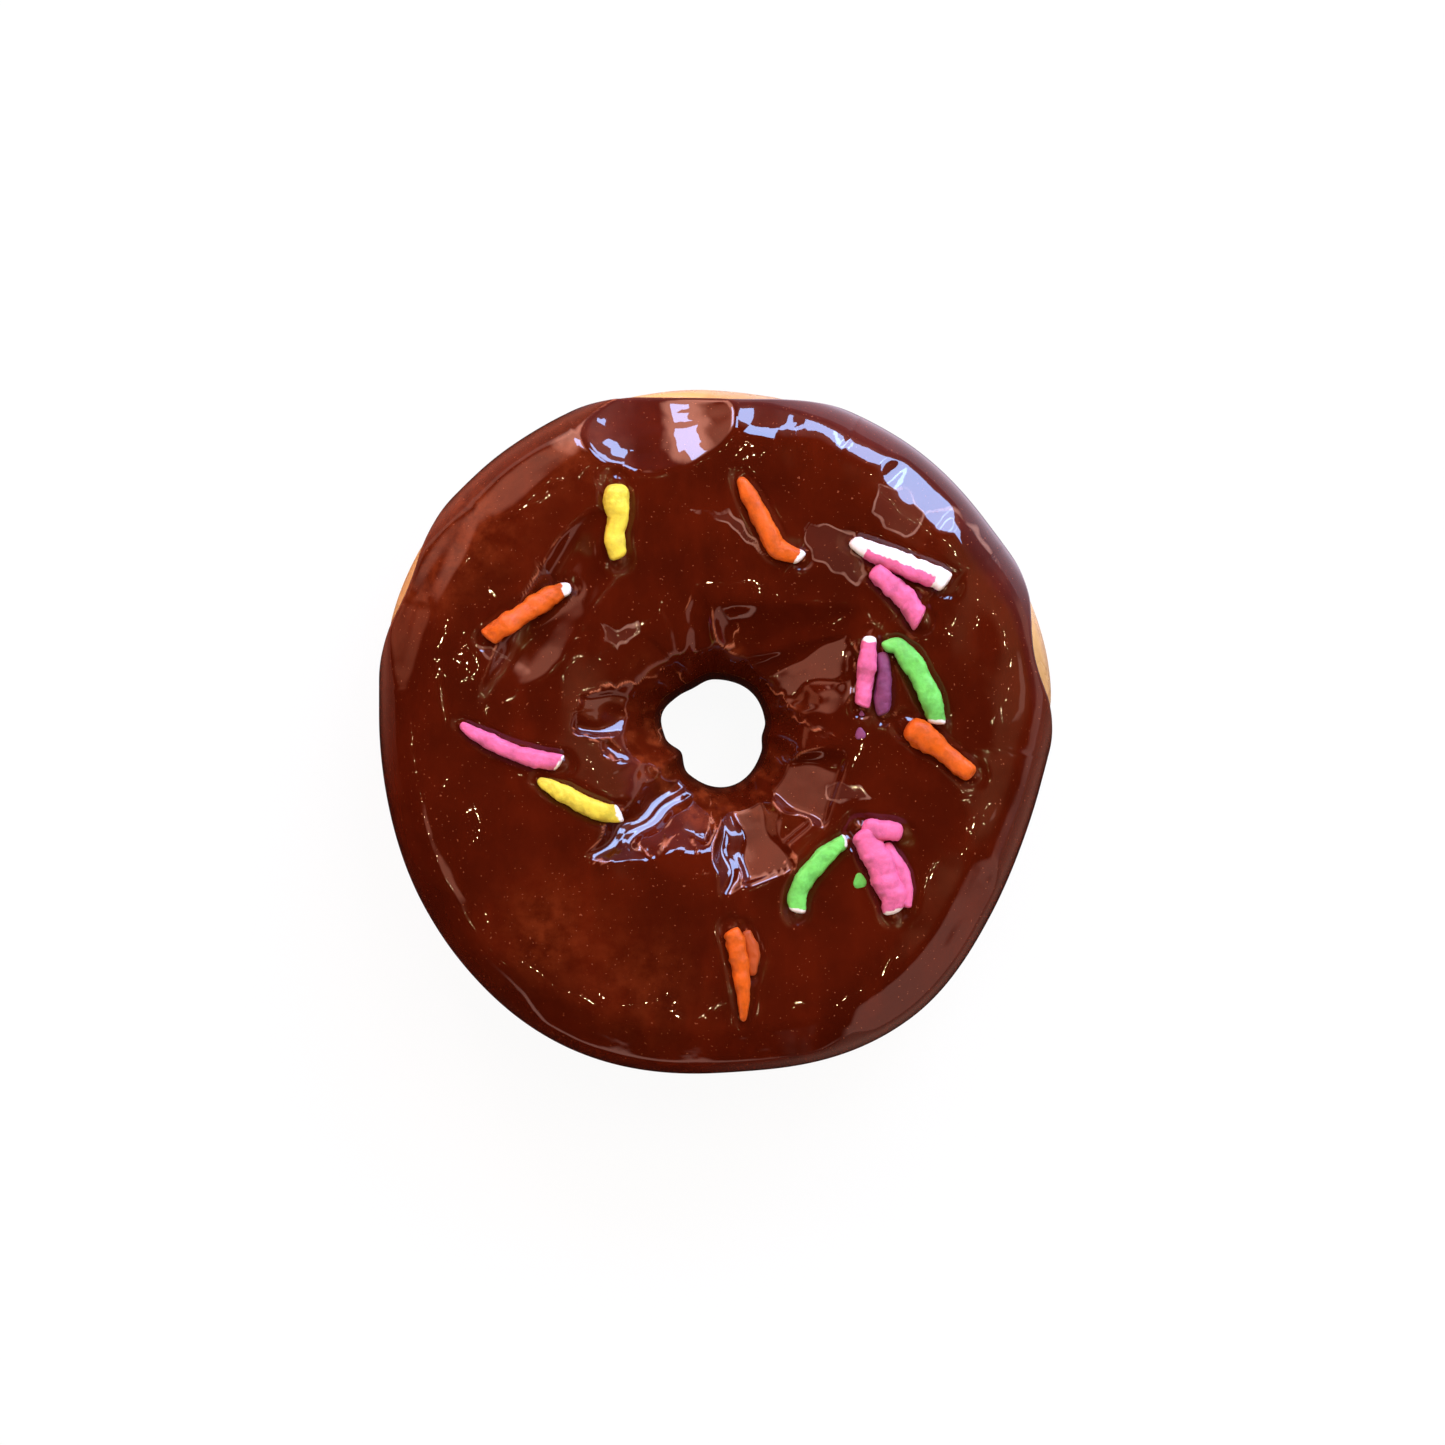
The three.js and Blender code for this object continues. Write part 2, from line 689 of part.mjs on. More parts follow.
const doughnut = new THREE.Group();
for (const [name, solid, material] of [
  ["dough_ring", dough, bakedGlaze],
  ["frosting", frosting, chocolateGlaze],
]) {
  const mesh = new THREE.Mesh(geometryOf(solid), material);
  mesh.name = name;
  doughnut.add(mesh);
}

export default doughnut;
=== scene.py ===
"""A glazed ceramic copy of a ring doughnut: golden dough, pleated frosting and rolled sprinkles.

Every piece is worked out in millimetres, with +Z up and the origin under the middle of the ring.
"""

import json
import math

import bpy
import numpy as np
from bpy.props import FloatProperty, FloatVectorProperty, IntProperty, PointerProperty
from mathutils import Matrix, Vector

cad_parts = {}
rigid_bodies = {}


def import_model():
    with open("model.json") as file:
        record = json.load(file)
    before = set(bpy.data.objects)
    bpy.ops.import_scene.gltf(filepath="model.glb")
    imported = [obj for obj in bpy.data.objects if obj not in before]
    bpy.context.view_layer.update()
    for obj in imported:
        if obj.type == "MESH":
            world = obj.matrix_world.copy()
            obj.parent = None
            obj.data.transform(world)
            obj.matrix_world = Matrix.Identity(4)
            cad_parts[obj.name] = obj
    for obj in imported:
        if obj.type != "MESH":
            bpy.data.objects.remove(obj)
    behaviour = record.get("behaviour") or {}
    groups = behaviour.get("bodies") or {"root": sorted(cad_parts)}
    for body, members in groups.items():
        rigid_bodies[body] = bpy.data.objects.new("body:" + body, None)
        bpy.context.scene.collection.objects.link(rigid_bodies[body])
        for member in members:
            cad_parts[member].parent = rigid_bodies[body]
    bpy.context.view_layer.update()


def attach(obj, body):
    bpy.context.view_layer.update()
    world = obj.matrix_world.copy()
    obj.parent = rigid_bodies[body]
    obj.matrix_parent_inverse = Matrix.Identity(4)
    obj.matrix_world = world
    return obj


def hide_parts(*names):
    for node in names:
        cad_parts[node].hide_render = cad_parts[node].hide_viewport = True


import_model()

bl_info = {
    "name": "Glazed Ceramic Doughnut",
    "version": (1, 0, 0),
    "blender": (4, 5, 0),
    "location": "View3D > Sidebar > Doughnut",
    "description": "Models a ceramic ring doughnut with pleated frosting and hand-rolled sprinkles",
    "category": "Add Mesh",
}

MM = 0.001
MERGE_DISTANCE = 1e-6

# ---- Form of the hand-made ring ------------------------------------------------------------------
# A bump is a swelling, or a dent if negative: its angle, its half width in degrees and its size in mm.
OUTLINE_BUMPS = [
    (340, 36, -2.2),
    (298, 28, 1.1),
    (245, 34, 1.25),
    (188, 34, -1.05),
    (132, 46, 1.2),
    (82, 14, -0.4),
    (58, 24, 0.5),
]
HOLE_BUMPS = [
    (285, 60, 1.15),
    (213, 26, -1.45),
    (164, 28, 0.75),
    (118, 26, -0.5),
    (45, 40, 0.25),
    (352, 18, -0.5),
]
# Section angles run from 0 at the widest girth over 90 at the crown to 180 in the hole.
SECTION_ANGLES = (-80.0, 200.0, 2801)
# The frosting's outer edge on the section, and the waves along it: how many, phase and size.
EDGE_ANGLE = -5.0
EDGE_WAVES = [(5, 40, 3.5), (11, 10, 1.8)]
# Where the frosting stops short, its edge climbs by so many degrees and the dough takes up some of its coat.
BARE_PLACES = [(14, 24, 42), (92, 34, 41), (155, 22, 37)]
BARE_SWELL = 0.8
BARE_CLIMB = 30.0
# The frosting's edge in the hole, and the angles that divide the uncovered dough from there on.
THROAT_ANGLE = 192.0
BASE_ANGLES = [192, 214, 232, 249, 270, 291, 308, 323, 338]

# Folds pinched into the clay round the hole. Each is a channel from its outer end to its inner end in mm,
# with its fall inwards, its tilt to the left, its half width at both ends, how steeply its left and right
# sides rise, how softly they do, the depth of the creases along it, and how far its outer end is pressed in.
# Left and right are as seen from the outer end.
FOLDS = {
    "lower_left_valley": ((-18.6, -19.4), (-4.6, -7.2), 0.5, 0.06, (0.15, 0.35), (1.3, 0.55), 0.6, 0.0, 0.0),
    "lower_left_groove": ((-13.2, -17.0), (-4.0, -9.5), 0.48, 0.1, (0.15, 0.3), (0.6, 1.2), 0.5, 0.0, 1.9),
    "bottom_valley": ((2.0, -25.0), (2.5, -9.5), 0.43, -0.04, (0.3, 0.8), (1.2, 0.9), 0.6, 0.012, 0.0),
    "bottom_groove": ((0.6, -20.0), (2.4, -11.5), 0.43, 0.02, (0.2, 0.4), (1.1, 1.0), 0.4, 0.006, 0.0),
    "bottom_floor": ((-4.2, -15.4), (-1.4, -8.4), 0.32, 0.0, (2.2, 1.8), (1.2, 1.2), 0.4, 0.01, 0.9),
    "left_valley": ((-20.6, 0.0), (-9.5, 0.9), 0.36, 0.36, (0.25, 0.4), (0.8, 0.85), 0.5, 0.006, 0.8),
    "left_dimple": ((-16.4, -3.0), (-9.0, -4.6), 0.24, 0.44, (0.5, 0.8), (0.9, 0.8), 0.4, 0.012, 0.6),
    "left_upper_plane": ((-19.8, 3.8), (-9.0, 3.2), 0.42, 0.0, (0.9, 1.2), (0.9, 0.8), 0.4, 0.0, 0.3),
    "upper_groove": ((-2.6, 20.5), (-1.9, 9.0), 0.52, 0.0, (0.4, 0.6), (0.9, 0.9), 0.8, 0.016, 0.0),
    "upper_groove_right": ((1.6, 19.0), (1.2, 9.5), 0.5, 0.0, (0.4, 0.5), (0.9, 0.9), 0.8, 0.016, 0.0),
    "upper_facet": ((-5.9, 18.8), (-3.9, 10.0), 0.44, 0.08, (1.3, 1.0), (0.9, 0.9), 0.4, 0.004, 0.0),
    "long_fold": ((22.5, 17.2), (4.8, 11.4), 0.3, 0.16, (0.5, 1.2), (0.5, 0.6), 1.6, 0.0, 0.0),
    "long_fold_lower": ((19.0, 14.0), (6.6, 9.8), 0.38, -0.02, (0.2, 0.8), (0.55, 0.6), 1.4, 0.0, 0.0),
    "right_facet_upper": ((20.6, 11.4), (8.4, 6.6), 0.45, 0.0, (2.5, 1.6), (0.8, 1.0), 1.4, 0.0, 1.0),
    "right_facet_lower": ((17.4, -9.6), (7.2, -6.6), 0.46, -0.1, (3.6, 1.4), (0.9, 1.0), 1.4, 0.0, 1.0),
    "bottom_right_facet": ((7.7, -21.6), (4.0, -9.0), 0.45, 0.13, (2.6, 0.9), (1.0, 0.9), 1.5, 0.0, 0.8),
    "lower_right_gap": ((11.8, -15.2), (6.6, -9.0), 0.24, 0.0, (1.2, 0.6), (0.8, 0.8), 1.5, 0.0, 0.9),
    "left_lower_facet": ((-15.0, -8.6), (-7.2, -4.6), 0.46, 0.0, (1.6, 1.4), (0.8, 0.8), 0.5, 0.01, 0.0),
    "upper_left_facet": ((-10.8, 11.4), (-5.6, 6.4), 0.55, 0.0, (2.0, 1.4), (0.8, 0.9), 0.4, 0.006, 0.0),
    "orange_left_bed": ((-18.8, 16.6), (-23.1, 19.2), 0.37, 0.0, (6.0, 6.0), (0.22, 0.4), 3.0, 0.0, 0.0),
}
# How steeply the ground rises behind a pressed outer end, and how fast it does past the inner end.
FOLD_BACK = 1.2
FOLD_END = 0.25
# The bevel round the hole: its reach from the hole's edge, its depth below the crown there, and its fall.
THROAT_REACH = 4.0
THROAT_DROP = 6.0
THROAT_FALL = 1.3
# How much deeper a press lies in the dough than in the frosting, for each mm between their skins.
PRESS_INSET = 1.2
# How much the creases of folds and the wrinkles of flats are drawn out.
CREASE_STRETCH = 0.07
WRINKLE_STRETCH = 0.12
# Flats pressed into the shoulder: azimuth, distance from the axis, fall outwards, half width, how steeply
# and how softly the sides rise, the depth of the wrinkles along it, and whether it bows round the ring.
FLATS = {
    "top_dish": (100, 39.0, 0.54, 0.0, 1.0, 30.0, 0.01, 0),
    "top_right_bevel": (68, 46.8, 0.5, 12.0, 0.5, 6.0, 0.004, 1),
    "window_press": (49, 43.6, 0.51, 4.5, 0.6, 3.0, 0.006, 1),
    "upper_left_shoulder": (128, 45.4, 0.5, 9.0, 0.3, 6.0, 0.02, 0),
    "left_upper_shoulder": (150, 45.4, 0.62, 9.0, 0.4, 6.0, 0.03, 0),
    "left_shoulder": (167, 44.8, 0.66, 7.0, 0.4, 4.0, 0.012, 0),
    "lower_left_bevel": (218, 47.4, 1.02, 17.0, 0.4, 6.0, 0.004, 1),
    "bottom_shoulder": (264, 45.4, 0.75, 20.0, 0.4, 6.0, 0.006, 1),
    "low_right_bevel": (314, 44.6, 0.74, 13.0, 0.6, 3.0, 0.01, 1),
    "right_shoulder": (345, 45.2, 0.66, 9.0, 0.4, 6.0, 0.01, 0),
}

# ---- Marks in the glaze --------------------------------------------------------------------------
# Cracks and crests of glaze, as points in mm. The glaze breaks to orange along them.
CRACKS = {
    "left_upper": [(-19.0, 5.1), (-16.2, 6.5), (-13.6, 6.9), (-10.4, 7.6), (-8.6, 8.4), (-7.2, 9.6)],
    "upper_left": [(-6.9, 10.4), (-6.3, 9.4), (-5.3, 8.2), (-4.3, 7.1)],
    "left_lower": [(-21.6, 0.8), (-19.4, -0.6), (-17.2, -1.9), (-16.2, -3.4), (-15.2, -4.5), (-13.0, -5.0)],
    "valley_rim": [
        (-18.6, -19.8), (-16.0, -19.4), (-14.2, -18.2), (-11.4, -16.7), (-10.6, -17.6), (-9.6, -18.6),
        (-7.2, -16.6), (-4.9, -14.9),
    ],
    "bottom_left": [(-4.9, -14.9), (-3.6, -16.4), (-2.5, -18.2), (-1.6, -20.4), (-1.0, -22.6)],
    "bottom_middle": [(-1.1, -9.8), (-0.5, -11.8), (-0.2, -14.0), (0.5, -15.2)],
    "right_upper": [
        (7.2, 7.4), (8.6, 5.9), (10.2, 5.2), (10.9, 3.4), (11.3, 2.0), (13.4, 1.0), (16.0, -0.4),
        (18.2, -1.6),
    ],
    "right_end": [(20.9, 11.6), (20.8, 9.2), (19.4, 8.1), (17.8, 6.9), (17.0, 6.0)],
    "upper_groove_edge": [(1.2, 11.6), (2.4, 12.6), (3.2, 14.8), (2.9, 16.6)],
    "left_hole_edge": [(-9.2, -2.6), (-8.2, -1.4), (-8.0, 0.6), (-7.7, 3.6)],
    "bottom_right": [(9.6, -20.4), (11.2, -18.9), (12.6, -18.6), (11.4, -20.4)],
}
# Shallow dents with a thin pale rim of painted highlight, and a faint painted sheen inside: depth and
# outline in mm.
DENTS = {
    "heart": (0.05, [
        (-16.9, 15.6), (-14.2, 14.9), (-11.6, 15.8), (-11.4, 14.8), (-13.4, 13.6), (-14.3, 12.0),
        (-16.2, 13.4),
    ]),
    "right_press": (0.06, [
        (16.5, -8.7), (18.5, -7.7), (21.6, -8.7), (23.3, -10.0), (20.4, -10.6), (17.0, -10.2),
    ]),
    "upper_crescent": (0.04, [
        (-3.8, 32.6), (2.3, 32.4), (5.0, 29.6), (7.6, 25.6), (4.0, 28.6), (1.8, 31.0),
    ]),
    "upper_right_rock": (0.06, [
        (24.6, 36.5), (23.6, 32.6), (25.5, 30.3), (28.4, 28.5), (30.3, 30.0), (30.9, 32.6), (29.1, 35.1),
        (27.5, 36.0),
    ]),
    "beside_white_pair": (0.05, [
        (12.8, 30.9), (14.6, 25.5), (17.9, 23.9), (21.0, 21.3), (22.7, 23.3), (20.4, 26.6), (20.6, 29.4),
    ]),
    "left_crescent": (0.04, [(-35.8, 12.8), (-33.0, 10.4), (-30.5, 10.2), (-33.2, 12.0)]),
}
# Thin pale lines of painted highlight on the glaze, as points in mm.
PAINTED_HIGHLIGHT_LINES = {
    "right_arc": [(29.6, 30.6), (31.6, 32.2), (35.0, 33.2), (38.4, 30.4), (41.2, 26.2), (43.2, 22.8)],
}
# Places where the glaze is thin: x, y, radius and amount.
THIN_PATCHES = {
    "bottom_fold": (-1.4, -12.6, 2.4, 0.85),
    "bottom_fold_left": (-4.4, -12.8, 2.0, 0.45),
    "left_fold": (-9.4, -5.8, 2.8, 0.5),
    "left_hole_edge": (-8.6, -0.8, 1.4, 0.6),
    "left_streak": (-15.0, -2.2, 2.4, 0.35),
    "right_crack": (11.4, 3.0, 1.6, 0.55),
    "right_hole_edge": (8.4, -4.4, 1.8, 0.45),
    "lower_right_fold": (10.0, -12.6, 2.4, 0.35),
    "upper_right_fold": (3.0, 12.4, 1.6, 0.55),
    "upper_left_fold": (-10.6, 9.6, 2.4, 0.25),
    "top_left_rim": (-22.0, 42.0, 6.0, 0.45),
    "left_upper_rim": (-36.0, 31.0, 7.0, 0.7),
    "left_rim": (-43.0, 22.0, 5.0, 0.65),
    "lower_left_mottling": (-25.0, -30.0, 7.0, 0.5),
    "bottom_mottling": (-11.0, -38.0, 8.0, 0.32),
}
# The glaze is worn thin round the hole, between these azimuths and distances from the axis in mm.
WORN_FROM = (130, 190)
WORN_TO = (300, 345)
WORN_REACH = (10.5, 16.0)
WORN_AMOUNT = 0.75
WORN_EVEN = 0.25
# How deep the glaze sinks or rises beside a sprinkle, at what distance from it, and how wide, in mm.
BED_ROLLS = ((-0.38, 0.0, 0.6), (0.05, 1.6, 0.6))
# The slope of a dent, the faded ends of cracks and seams, and the size of a crack, in mm.
DENT_SLOPE = (-0.7, 0.3)
CRACK_END = 1.2
PAINTED_LINE_END = 3.0
PAINTED_LINE_FADE = 0.3
CRACK_HEIGHT = 0.14
CRACK_STRENGTH = 0.85
CRACK_WIDTH = 0.27
# The distance that means no dent or seam nearby.
FAR_OFF = 2.0

# ---- Unevenness ----------------------------------------------------------------------------------
# The clay is calmer among the folds and on the rim: by how much, and at what distances from the axis.
CALM_FOLDS = (0.35, 0.65)
CALM_RIM = 0.6
CALM_INSIDE = (20.0, 27.0)
CALM_OUTSIDE = (42.0, 45.0)
# Pleats run down the hole: the radius that they are drawn at, and where they end, in mm.
PLEAT_RING = 12
PLEAT_REACH = (8.6, 12.5)
# Uneven fields: height, number of waves, the shortest and the longest of them in mm, and the seed.
RIPPLES = {
    "slow_clay": (0.085, 14, 8.0, 22.0, 3),
    "fine_clay": (0.01, 24, 2.5, 6.0, 5),
    "throat_pleats": (0.35, 14, 3.5, 9.0, 7),
    "fold_wander": (0.35, 12, 5.0, 9.0, 21),
    "fold_tremble": (0.02, 12, 1.8, 3.6, 25),
    "crack_wander": (0.22, 12, 1.2, 3.0, 31),
    "crack_strength": (0.4, 8, 1.6, 5.0, 33),
    "dent_wander": (0.2, 12, 2.4, 6.0, 35),
    "painted_line_wander": (0.2, 12, 2.4, 6.0, 37),
    "crack_width": (0.08, 8, 1.0, 4.0, 43),
    "fold_creases": (1.0, 12, 1.1, 2.6, 60),
    "worn_throat": (0.7, 20, 1.4, 5.0, 71),
    "flat_wrinkles": (1.0, 12, 1.6, 3.6, 90),
    "coil_lumps": (0.055, 10, 1.8, 5.0, 40),
    "coil_dimples": (0.018, 12, 0.7, 1.6, 70),
}

# ---- The frosting's skin -------------------------------------------------------------------------
# How much the skin's rows crowd towards the throat, and at what section angles the relief comes and goes.
ROW_CROWDING = 0.4
RELIEF_START = (2.0, 22.0)
RELIEF_STOP = (160.0, 178.0)
# The rolled edge: its reach in mm, and its depth in shares of the frosting's thickness.
EDGE_ROLL = 1.1
EDGE_SINK = 0.9
# How sharply the skin bends where the glaze starts to break, in 1/mm, and how much of its colour it takes.
BEND_START = 0.25
BEND_RANGE = 1.6
RIDGE_SHARE = 0.75
SHORTEST_STEP = 0.02

# ---- Sprinkles -----------------------------------------------------------------------------------
# The points along the middle in mm, the width at each, how long the taper is at both ends, how far each end
# is cut aslant, the paint, the length of bare clay at both ends, whether the left side is bare too, and how
# high the middle lies over the frosting, in shares of the width.
SPRINKLES = {
    "yellow_top": dict(
        path=[(-14.8, 36.6), (-14.7, 34.6), (-14.4, 31.5), (-14.9, 28.6), (-14.3, 25.4)],
        width=[3.3, 3.8, 3.0, 3.0, 2.7], taper=(1.6, 1.2), slant=(0.0, -0.2), paint="yellow",
    ),
    "orange_top": dict(
        path=[(3.7, 37.6), (5.2, 34.6), (7.4, 30.4), (9.4, 27.0), (13.0, 25.4)],
        width=[1.6, 2.7, 2.8, 3.0, 2.0], taper=(1.6, 0.8), slant=(0.0, 0.4), paint="orange",
        bare=(0.0, 0.9),
    ),
    "white_pair": dict(
        path=[(20.2, 28.2), (23.2, 26.6), (27.6, 24.7), (32.0, 23.0), (34.6, 21.8)],
        width=[1.8, 3.0, 3.3, 3.5, 3.1], taper=(1.2, 0.7), slant=(0.3, 0.2), paint="pink",
        bare=(2.8, 2.0), bare_side=1.0,
    ),
    "pink_pair": dict(
        path=[(23.4, 24.0), (25.8, 21.9), (28.6, 19.2), (30.6, 16.2)],
        width=[2.8, 3.1, 3.3, 3.4], taper=(1.2, 0.6), slant=(0.0, -0.55), paint="pink",
    ),
    "pink_upright": dict(
        path=[(23.0, 14.0), (22.8, 11.6), (22.4, 8.0), (21.9, 3.4)],
        width=[2.0, 2.8, 2.5, 2.4], taper=(1.2, 0.6), slant=(0.0, 0.25), paint="pink", bare=(0.9, 0.0),
    ),
    "plum_upright": dict(
        path=[(24.9, 11.6), (25.2, 8.0), (24.9, 4.6), (25.0, 2.2)],
        width=[1.6, 2.1, 2.5, 1.9], taper=(1.0, 0.8), slant=(0.0, -0.3), paint="plum", lift=0.0,
    ),
    "green_right": dict(
        path=[(24.9, 12.2), (27.3, 12.2), (29.6, 9.4), (32.1, 4.6), (33.0, 0.8)],
        width=[1.6, 3.2, 3.0, 3.2, 2.4], taper=(1.0, 0.7), slant=(-0.5, 0.3), paint="green",
        bare=(0.0, 0.7), lift=0.42,
    ),
    "orange_right": dict(
        path=[(28.4, 0.6), (30.4, -0.6), (33.2, -2.6), (36.0, -4.9), (38.4, -6.8)],
        width=[3.3, 4.1, 2.9, 2.9, 2.7], taper=(1.7, 1.3), paint="orange",
    ),
    "green_low": dict(
        path=[(19.6, -16.4), (17.2, -18.0), (13.8, -21.6), (12.3, -24.6), (12.1, -27.2)],
        width=[2.0, 2.7, 2.8, 2.8, 2.4], taper=(0.8, 0.8), slant=(0.3, 0.2), paint="green",
        bare=(0.5, 0.6),
    ),
    "pink_low": dict(
        path=[(21.4, -15.0), (23.0, -17.2), (25.2, -21.4), (26.2, -24.6), (26.5, -27.4)],
        width=[3.4, 4.0, 4.2, 4.2, 2.8], taper=(1.4, 0.9), slant=(0.0, -0.2), paint="pink",
        bare=(0.0, 0.6),
    ),
    "pink_low_ridge": dict(
        path=[(25.0, -17.0), (27.4, -20.6), (28.3, -24.0), (28.2, -26.4)],
        width=[2.0, 2.3, 2.4, 2.0], taper=(0.9, 0.7), slant=(0.0, 0.2), paint="pink", lift=0.05,
    ),
    "pink_cross": dict(
        path=[(21.8, -14.3), (24.0, -14.8), (26.0, -15.0), (27.9, -15.4)],
        width=[2.4, 3.0, 2.9, 2.6], taper=(1.1, 1.2), paint="pink", lift=0.3,
    ),
    "orange_low": dict(
        path=[(2.4, -29.6), (3.3, -32.6), (3.9, -36.4), (4.2, -40.0), (4.2, -43.4)],
        width=[2.6, 2.8, 2.5, 1.9, 0.9], taper=(0.9, 1.2), slant=(-0.2, 0.0), paint="orange",
    ),
    "orange_low_smear": dict(
        path=[(4.6, -29.8), (5.6, -33.0), (5.5, -36.6)],
        width=[1.6, 2.0, 1.2], taper=(0.9, 1.2), paint="amber", lift=-0.1,
    ),
    "orange_left": dict(
        path=[(-34.0, 13.6), (-31.4, 15.4), (-28.2, 17.6), (-24.8, 19.8), (-21.4, 21.2)],
        width=[2.7, 3.2, 3.1, 3.3, 1.5], taper=(0.7, 1.0), slant=(-0.25, 0.2), paint="orange",
        bare=(0.0, 1.3),
    ),
    "pink_left": dict(
        path=[(-37.9, 0.9), (-35.6, -0.6), (-31.6, -2.6), (-27.0, -4.2), (-22.9, -5.0)],
        width=[1.2, 2.2, 2.4, 2.7, 2.5], taper=(1.2, 0.6), slant=(0.0, 0.4), paint="pink",
        bare=(0.0, 0.5),
    ),
    "yellow_left": dict(
        path=[(-26.4, -7.4), (-23.6, -8.9), (-20.0, -10.8), (-16.6, -12.2), (-13.9, -12.4)],
        width=[1.2, 2.5, 2.7, 2.8, 2.5], taper=(1.2, 0.6), slant=(0.0, -0.5), paint="yellow",
        bare=(0.0, 0.8),
    ),
}
# Drops of paint: place in mm, radius in mm, paint.
DROPS = [
    ((21.5, -22.5), 0.95, "green"),
    ((21.6, -0.6), 0.75, "plum"),
    ((21.8, 2.4), 0.35, "plum"),
]
# The mesh and the shape of a drop.
DROP_SIDES, DROP_ROWS = 24, 16
DROP_WOBBLE = 0.12
DROP_LENGTH = 1.2
DROP_FLATNESS = 0.3
# What the rows of the sprinkles leave out.
SPRINKLE_LIFT = 0.2
NO_SLANT = NO_BARE = (0.0, 0.0)
# How evenly a sprinkle's rings are spaced, how many points its middle line has for itself and for its bed,
# and how many steps a smooth curve has between two points of its path.
RING_SHARE = 0.45
LINE_POINTS = 60
BED_POINTS = 24
CURVE_STEPS = 40
# The bluntness of its ends, and the squareness and flatness of its section.
END_RISE, END_ROOT = 3.2, 2.4
COIL_SQUARENESS = 2.6
COIL_FLATNESS = 0.86
# The finger marks on it: which field, how far one coil is from the next in it, and its radius in it, in mm.
COIL_MARKS = (("coil_lumps", 31, 0.9), ("coil_dimples", 17, 1.3))
# How far the slant of an end reaches, in mm.
SLANT_REACH = 2.2
# The attribute for bare clay: where an end's begins, how fast it comes, and the same for a bare side.
BARE_EDGE, BARE_RISE = 0.5, 0.8
SIDE_EDGE, SIDE_RISE = 0.45, 0.9
NOT_BARE = -1.0
# The paints, one piece for each.
PAINTS = ("yellow", "orange", "pink", "green", "plum", "amber")

# ---- Light ---------------------------------------------------------------------------------------
# Each lamp is a lit panel that faces the ring: azimuth and elevation in degrees, distance, width and height
# in metres, power in watts, colour, and over what share of its width and height it fades at each edge.
WINDOW_BLUE = (0.36, 0.55, 1.0)
LAMPS = {
    "window_right_low": (46, 34, 1.2, 0.25, 0.29, 4.4, WINDOW_BLUE, 0.0),
    "window_right_mid": (59, 35, 1.2, 0.25, 0.29, 4.4, WINDOW_BLUE, 0.0),
    "window_right_far": (71.5, 34, 1.2, 0.25, 0.25, 3.9, WINDOW_BLUE, 0.0),
    "window_top": (111, 35, 1.2, 0.13, 0.3, 2.5, WINDOW_BLUE, 0.0),
    "window_left": (84, 44, 1.2, 0.16, 0.26, 2.7, WINDOW_BLUE, 0.0),
    "wall_behind_window": (62, 33, 1.6, 1.3, 0.9, 4.2, (1.0, 0.52, 0.45), 0.3),
    "wall_left_near": (111, 24, 1.45, 0.5, 1.4, 17.0, (1.0, 0.42, 0.3), 0.3),
    "wall_left": (135, 36, 1.5, 1.3, 0.9, 10.0, (1.0, 0.38, 0.25), 0.35),
    "wall_left_low": (128, 8, 1.5, 1.8, 0.5, 4.4, (1.0, 0.46, 0.34), 0.25),
    "wall_left_side": (163, 16, 1.45, 0.6, 0.6, 1.7, (1.0, 0.3, 0.16), 0.3),
    "wall_right_high": (0, 44, 1.5, 0.42, 0.21, 0.33, (1.0, 0.62, 0.52), 0.2),
    "wall_back": (205, 42, 1.5, 0.36, 0.34, 0.97, (1.0, 0.38, 0.25), 0.3),
    "wall_front_low": (252, 8.5, 1.5, 1.9, 0.26, 3.2, (1.0, 0.52, 0.42), 0.3),
    "wall_right": (312, 12, 1.5, 1.9, 0.8, 6.7, (1.0, 0.47, 0.37), 0.25),
    "wall_far_right": (6, 10, 1.5, 1.7, 0.7, 4.2, (1.0, 0.5, 0.38), 0.25),
    "wall_right_dim": (10, 54, 1.8, 2.1, 1.8, 7.2, (1.0, 0.42, 0.2), 0.35),
}
# Painted reflection: the floor glows in these colours for glossy rays only, standing in for what the glaze
# mirrors of the lit table: azimuth in degrees, how far out it fades in, in metres, and colour.
FLOOR_PAINTED_REFLECTIONS = (
    (58, 0.05, 0.06, (1.1, 0.92, 1.15)),
    (134, 0.052, 0.08, (1.05, 0.32, 0.21)),
    (325, 0.052, 0.08, (0.5, 0.26, 0.2)),
)
# Its colour elsewhere, a painted shade that the glaze mirrors in front and near the ring, the cosines
# between which a side comes in, and how much the camera sees it glow.
FLOOR_PAINTED_SHADE = (0.014, 0.007, 0.006, 1)
FLOOR_TURN = (0.5, 0.93)
FLOOR_GLOW = 0.94
FLOOR_SIZE = 6.0
# Rows of small bulbs: azimuth and elevation of the first of each row, in degrees.
BULB_ROWS = (
    (20, 64), (40, 57), (95, 70), (118, 62), (165, 74), (183, 40),
    (202, 36), (228, 60), (255, 72), (300, 62), (335, 72), (350, 58),
)
BULBS_IN_ROW = 4
BULB_TURN = 5.5
BULB_CLIMB = 0.7
BULB_DISTANCE = 1.3
BULB_SIZE = 0.005
BULB_POWER = 0.042
BULB_COLOUR = (1.0, 0.74, 0.42)
# Two large soft lights that don't show in the glaze.
OVERHEAD = (0.5, 0.6, 1.6)
LOW_LEFT = (-0.8, -0.95, 0.5)
SOFT_SIZE = 1.2
SOFT_COLOUR = (1, 0.98, 0.95)
# The room: the way to its lilac side, its colours, and the cosine where the lilac is full.
LILAC_WAY = (0.45, 0.62, -0.64)
ROOM_DARK = (0.006, 0.005, 0.005, 1)
ROOM_LILAC = (0.5, 0.38, 0.52, 1)
LILAC_FULL = 0.75
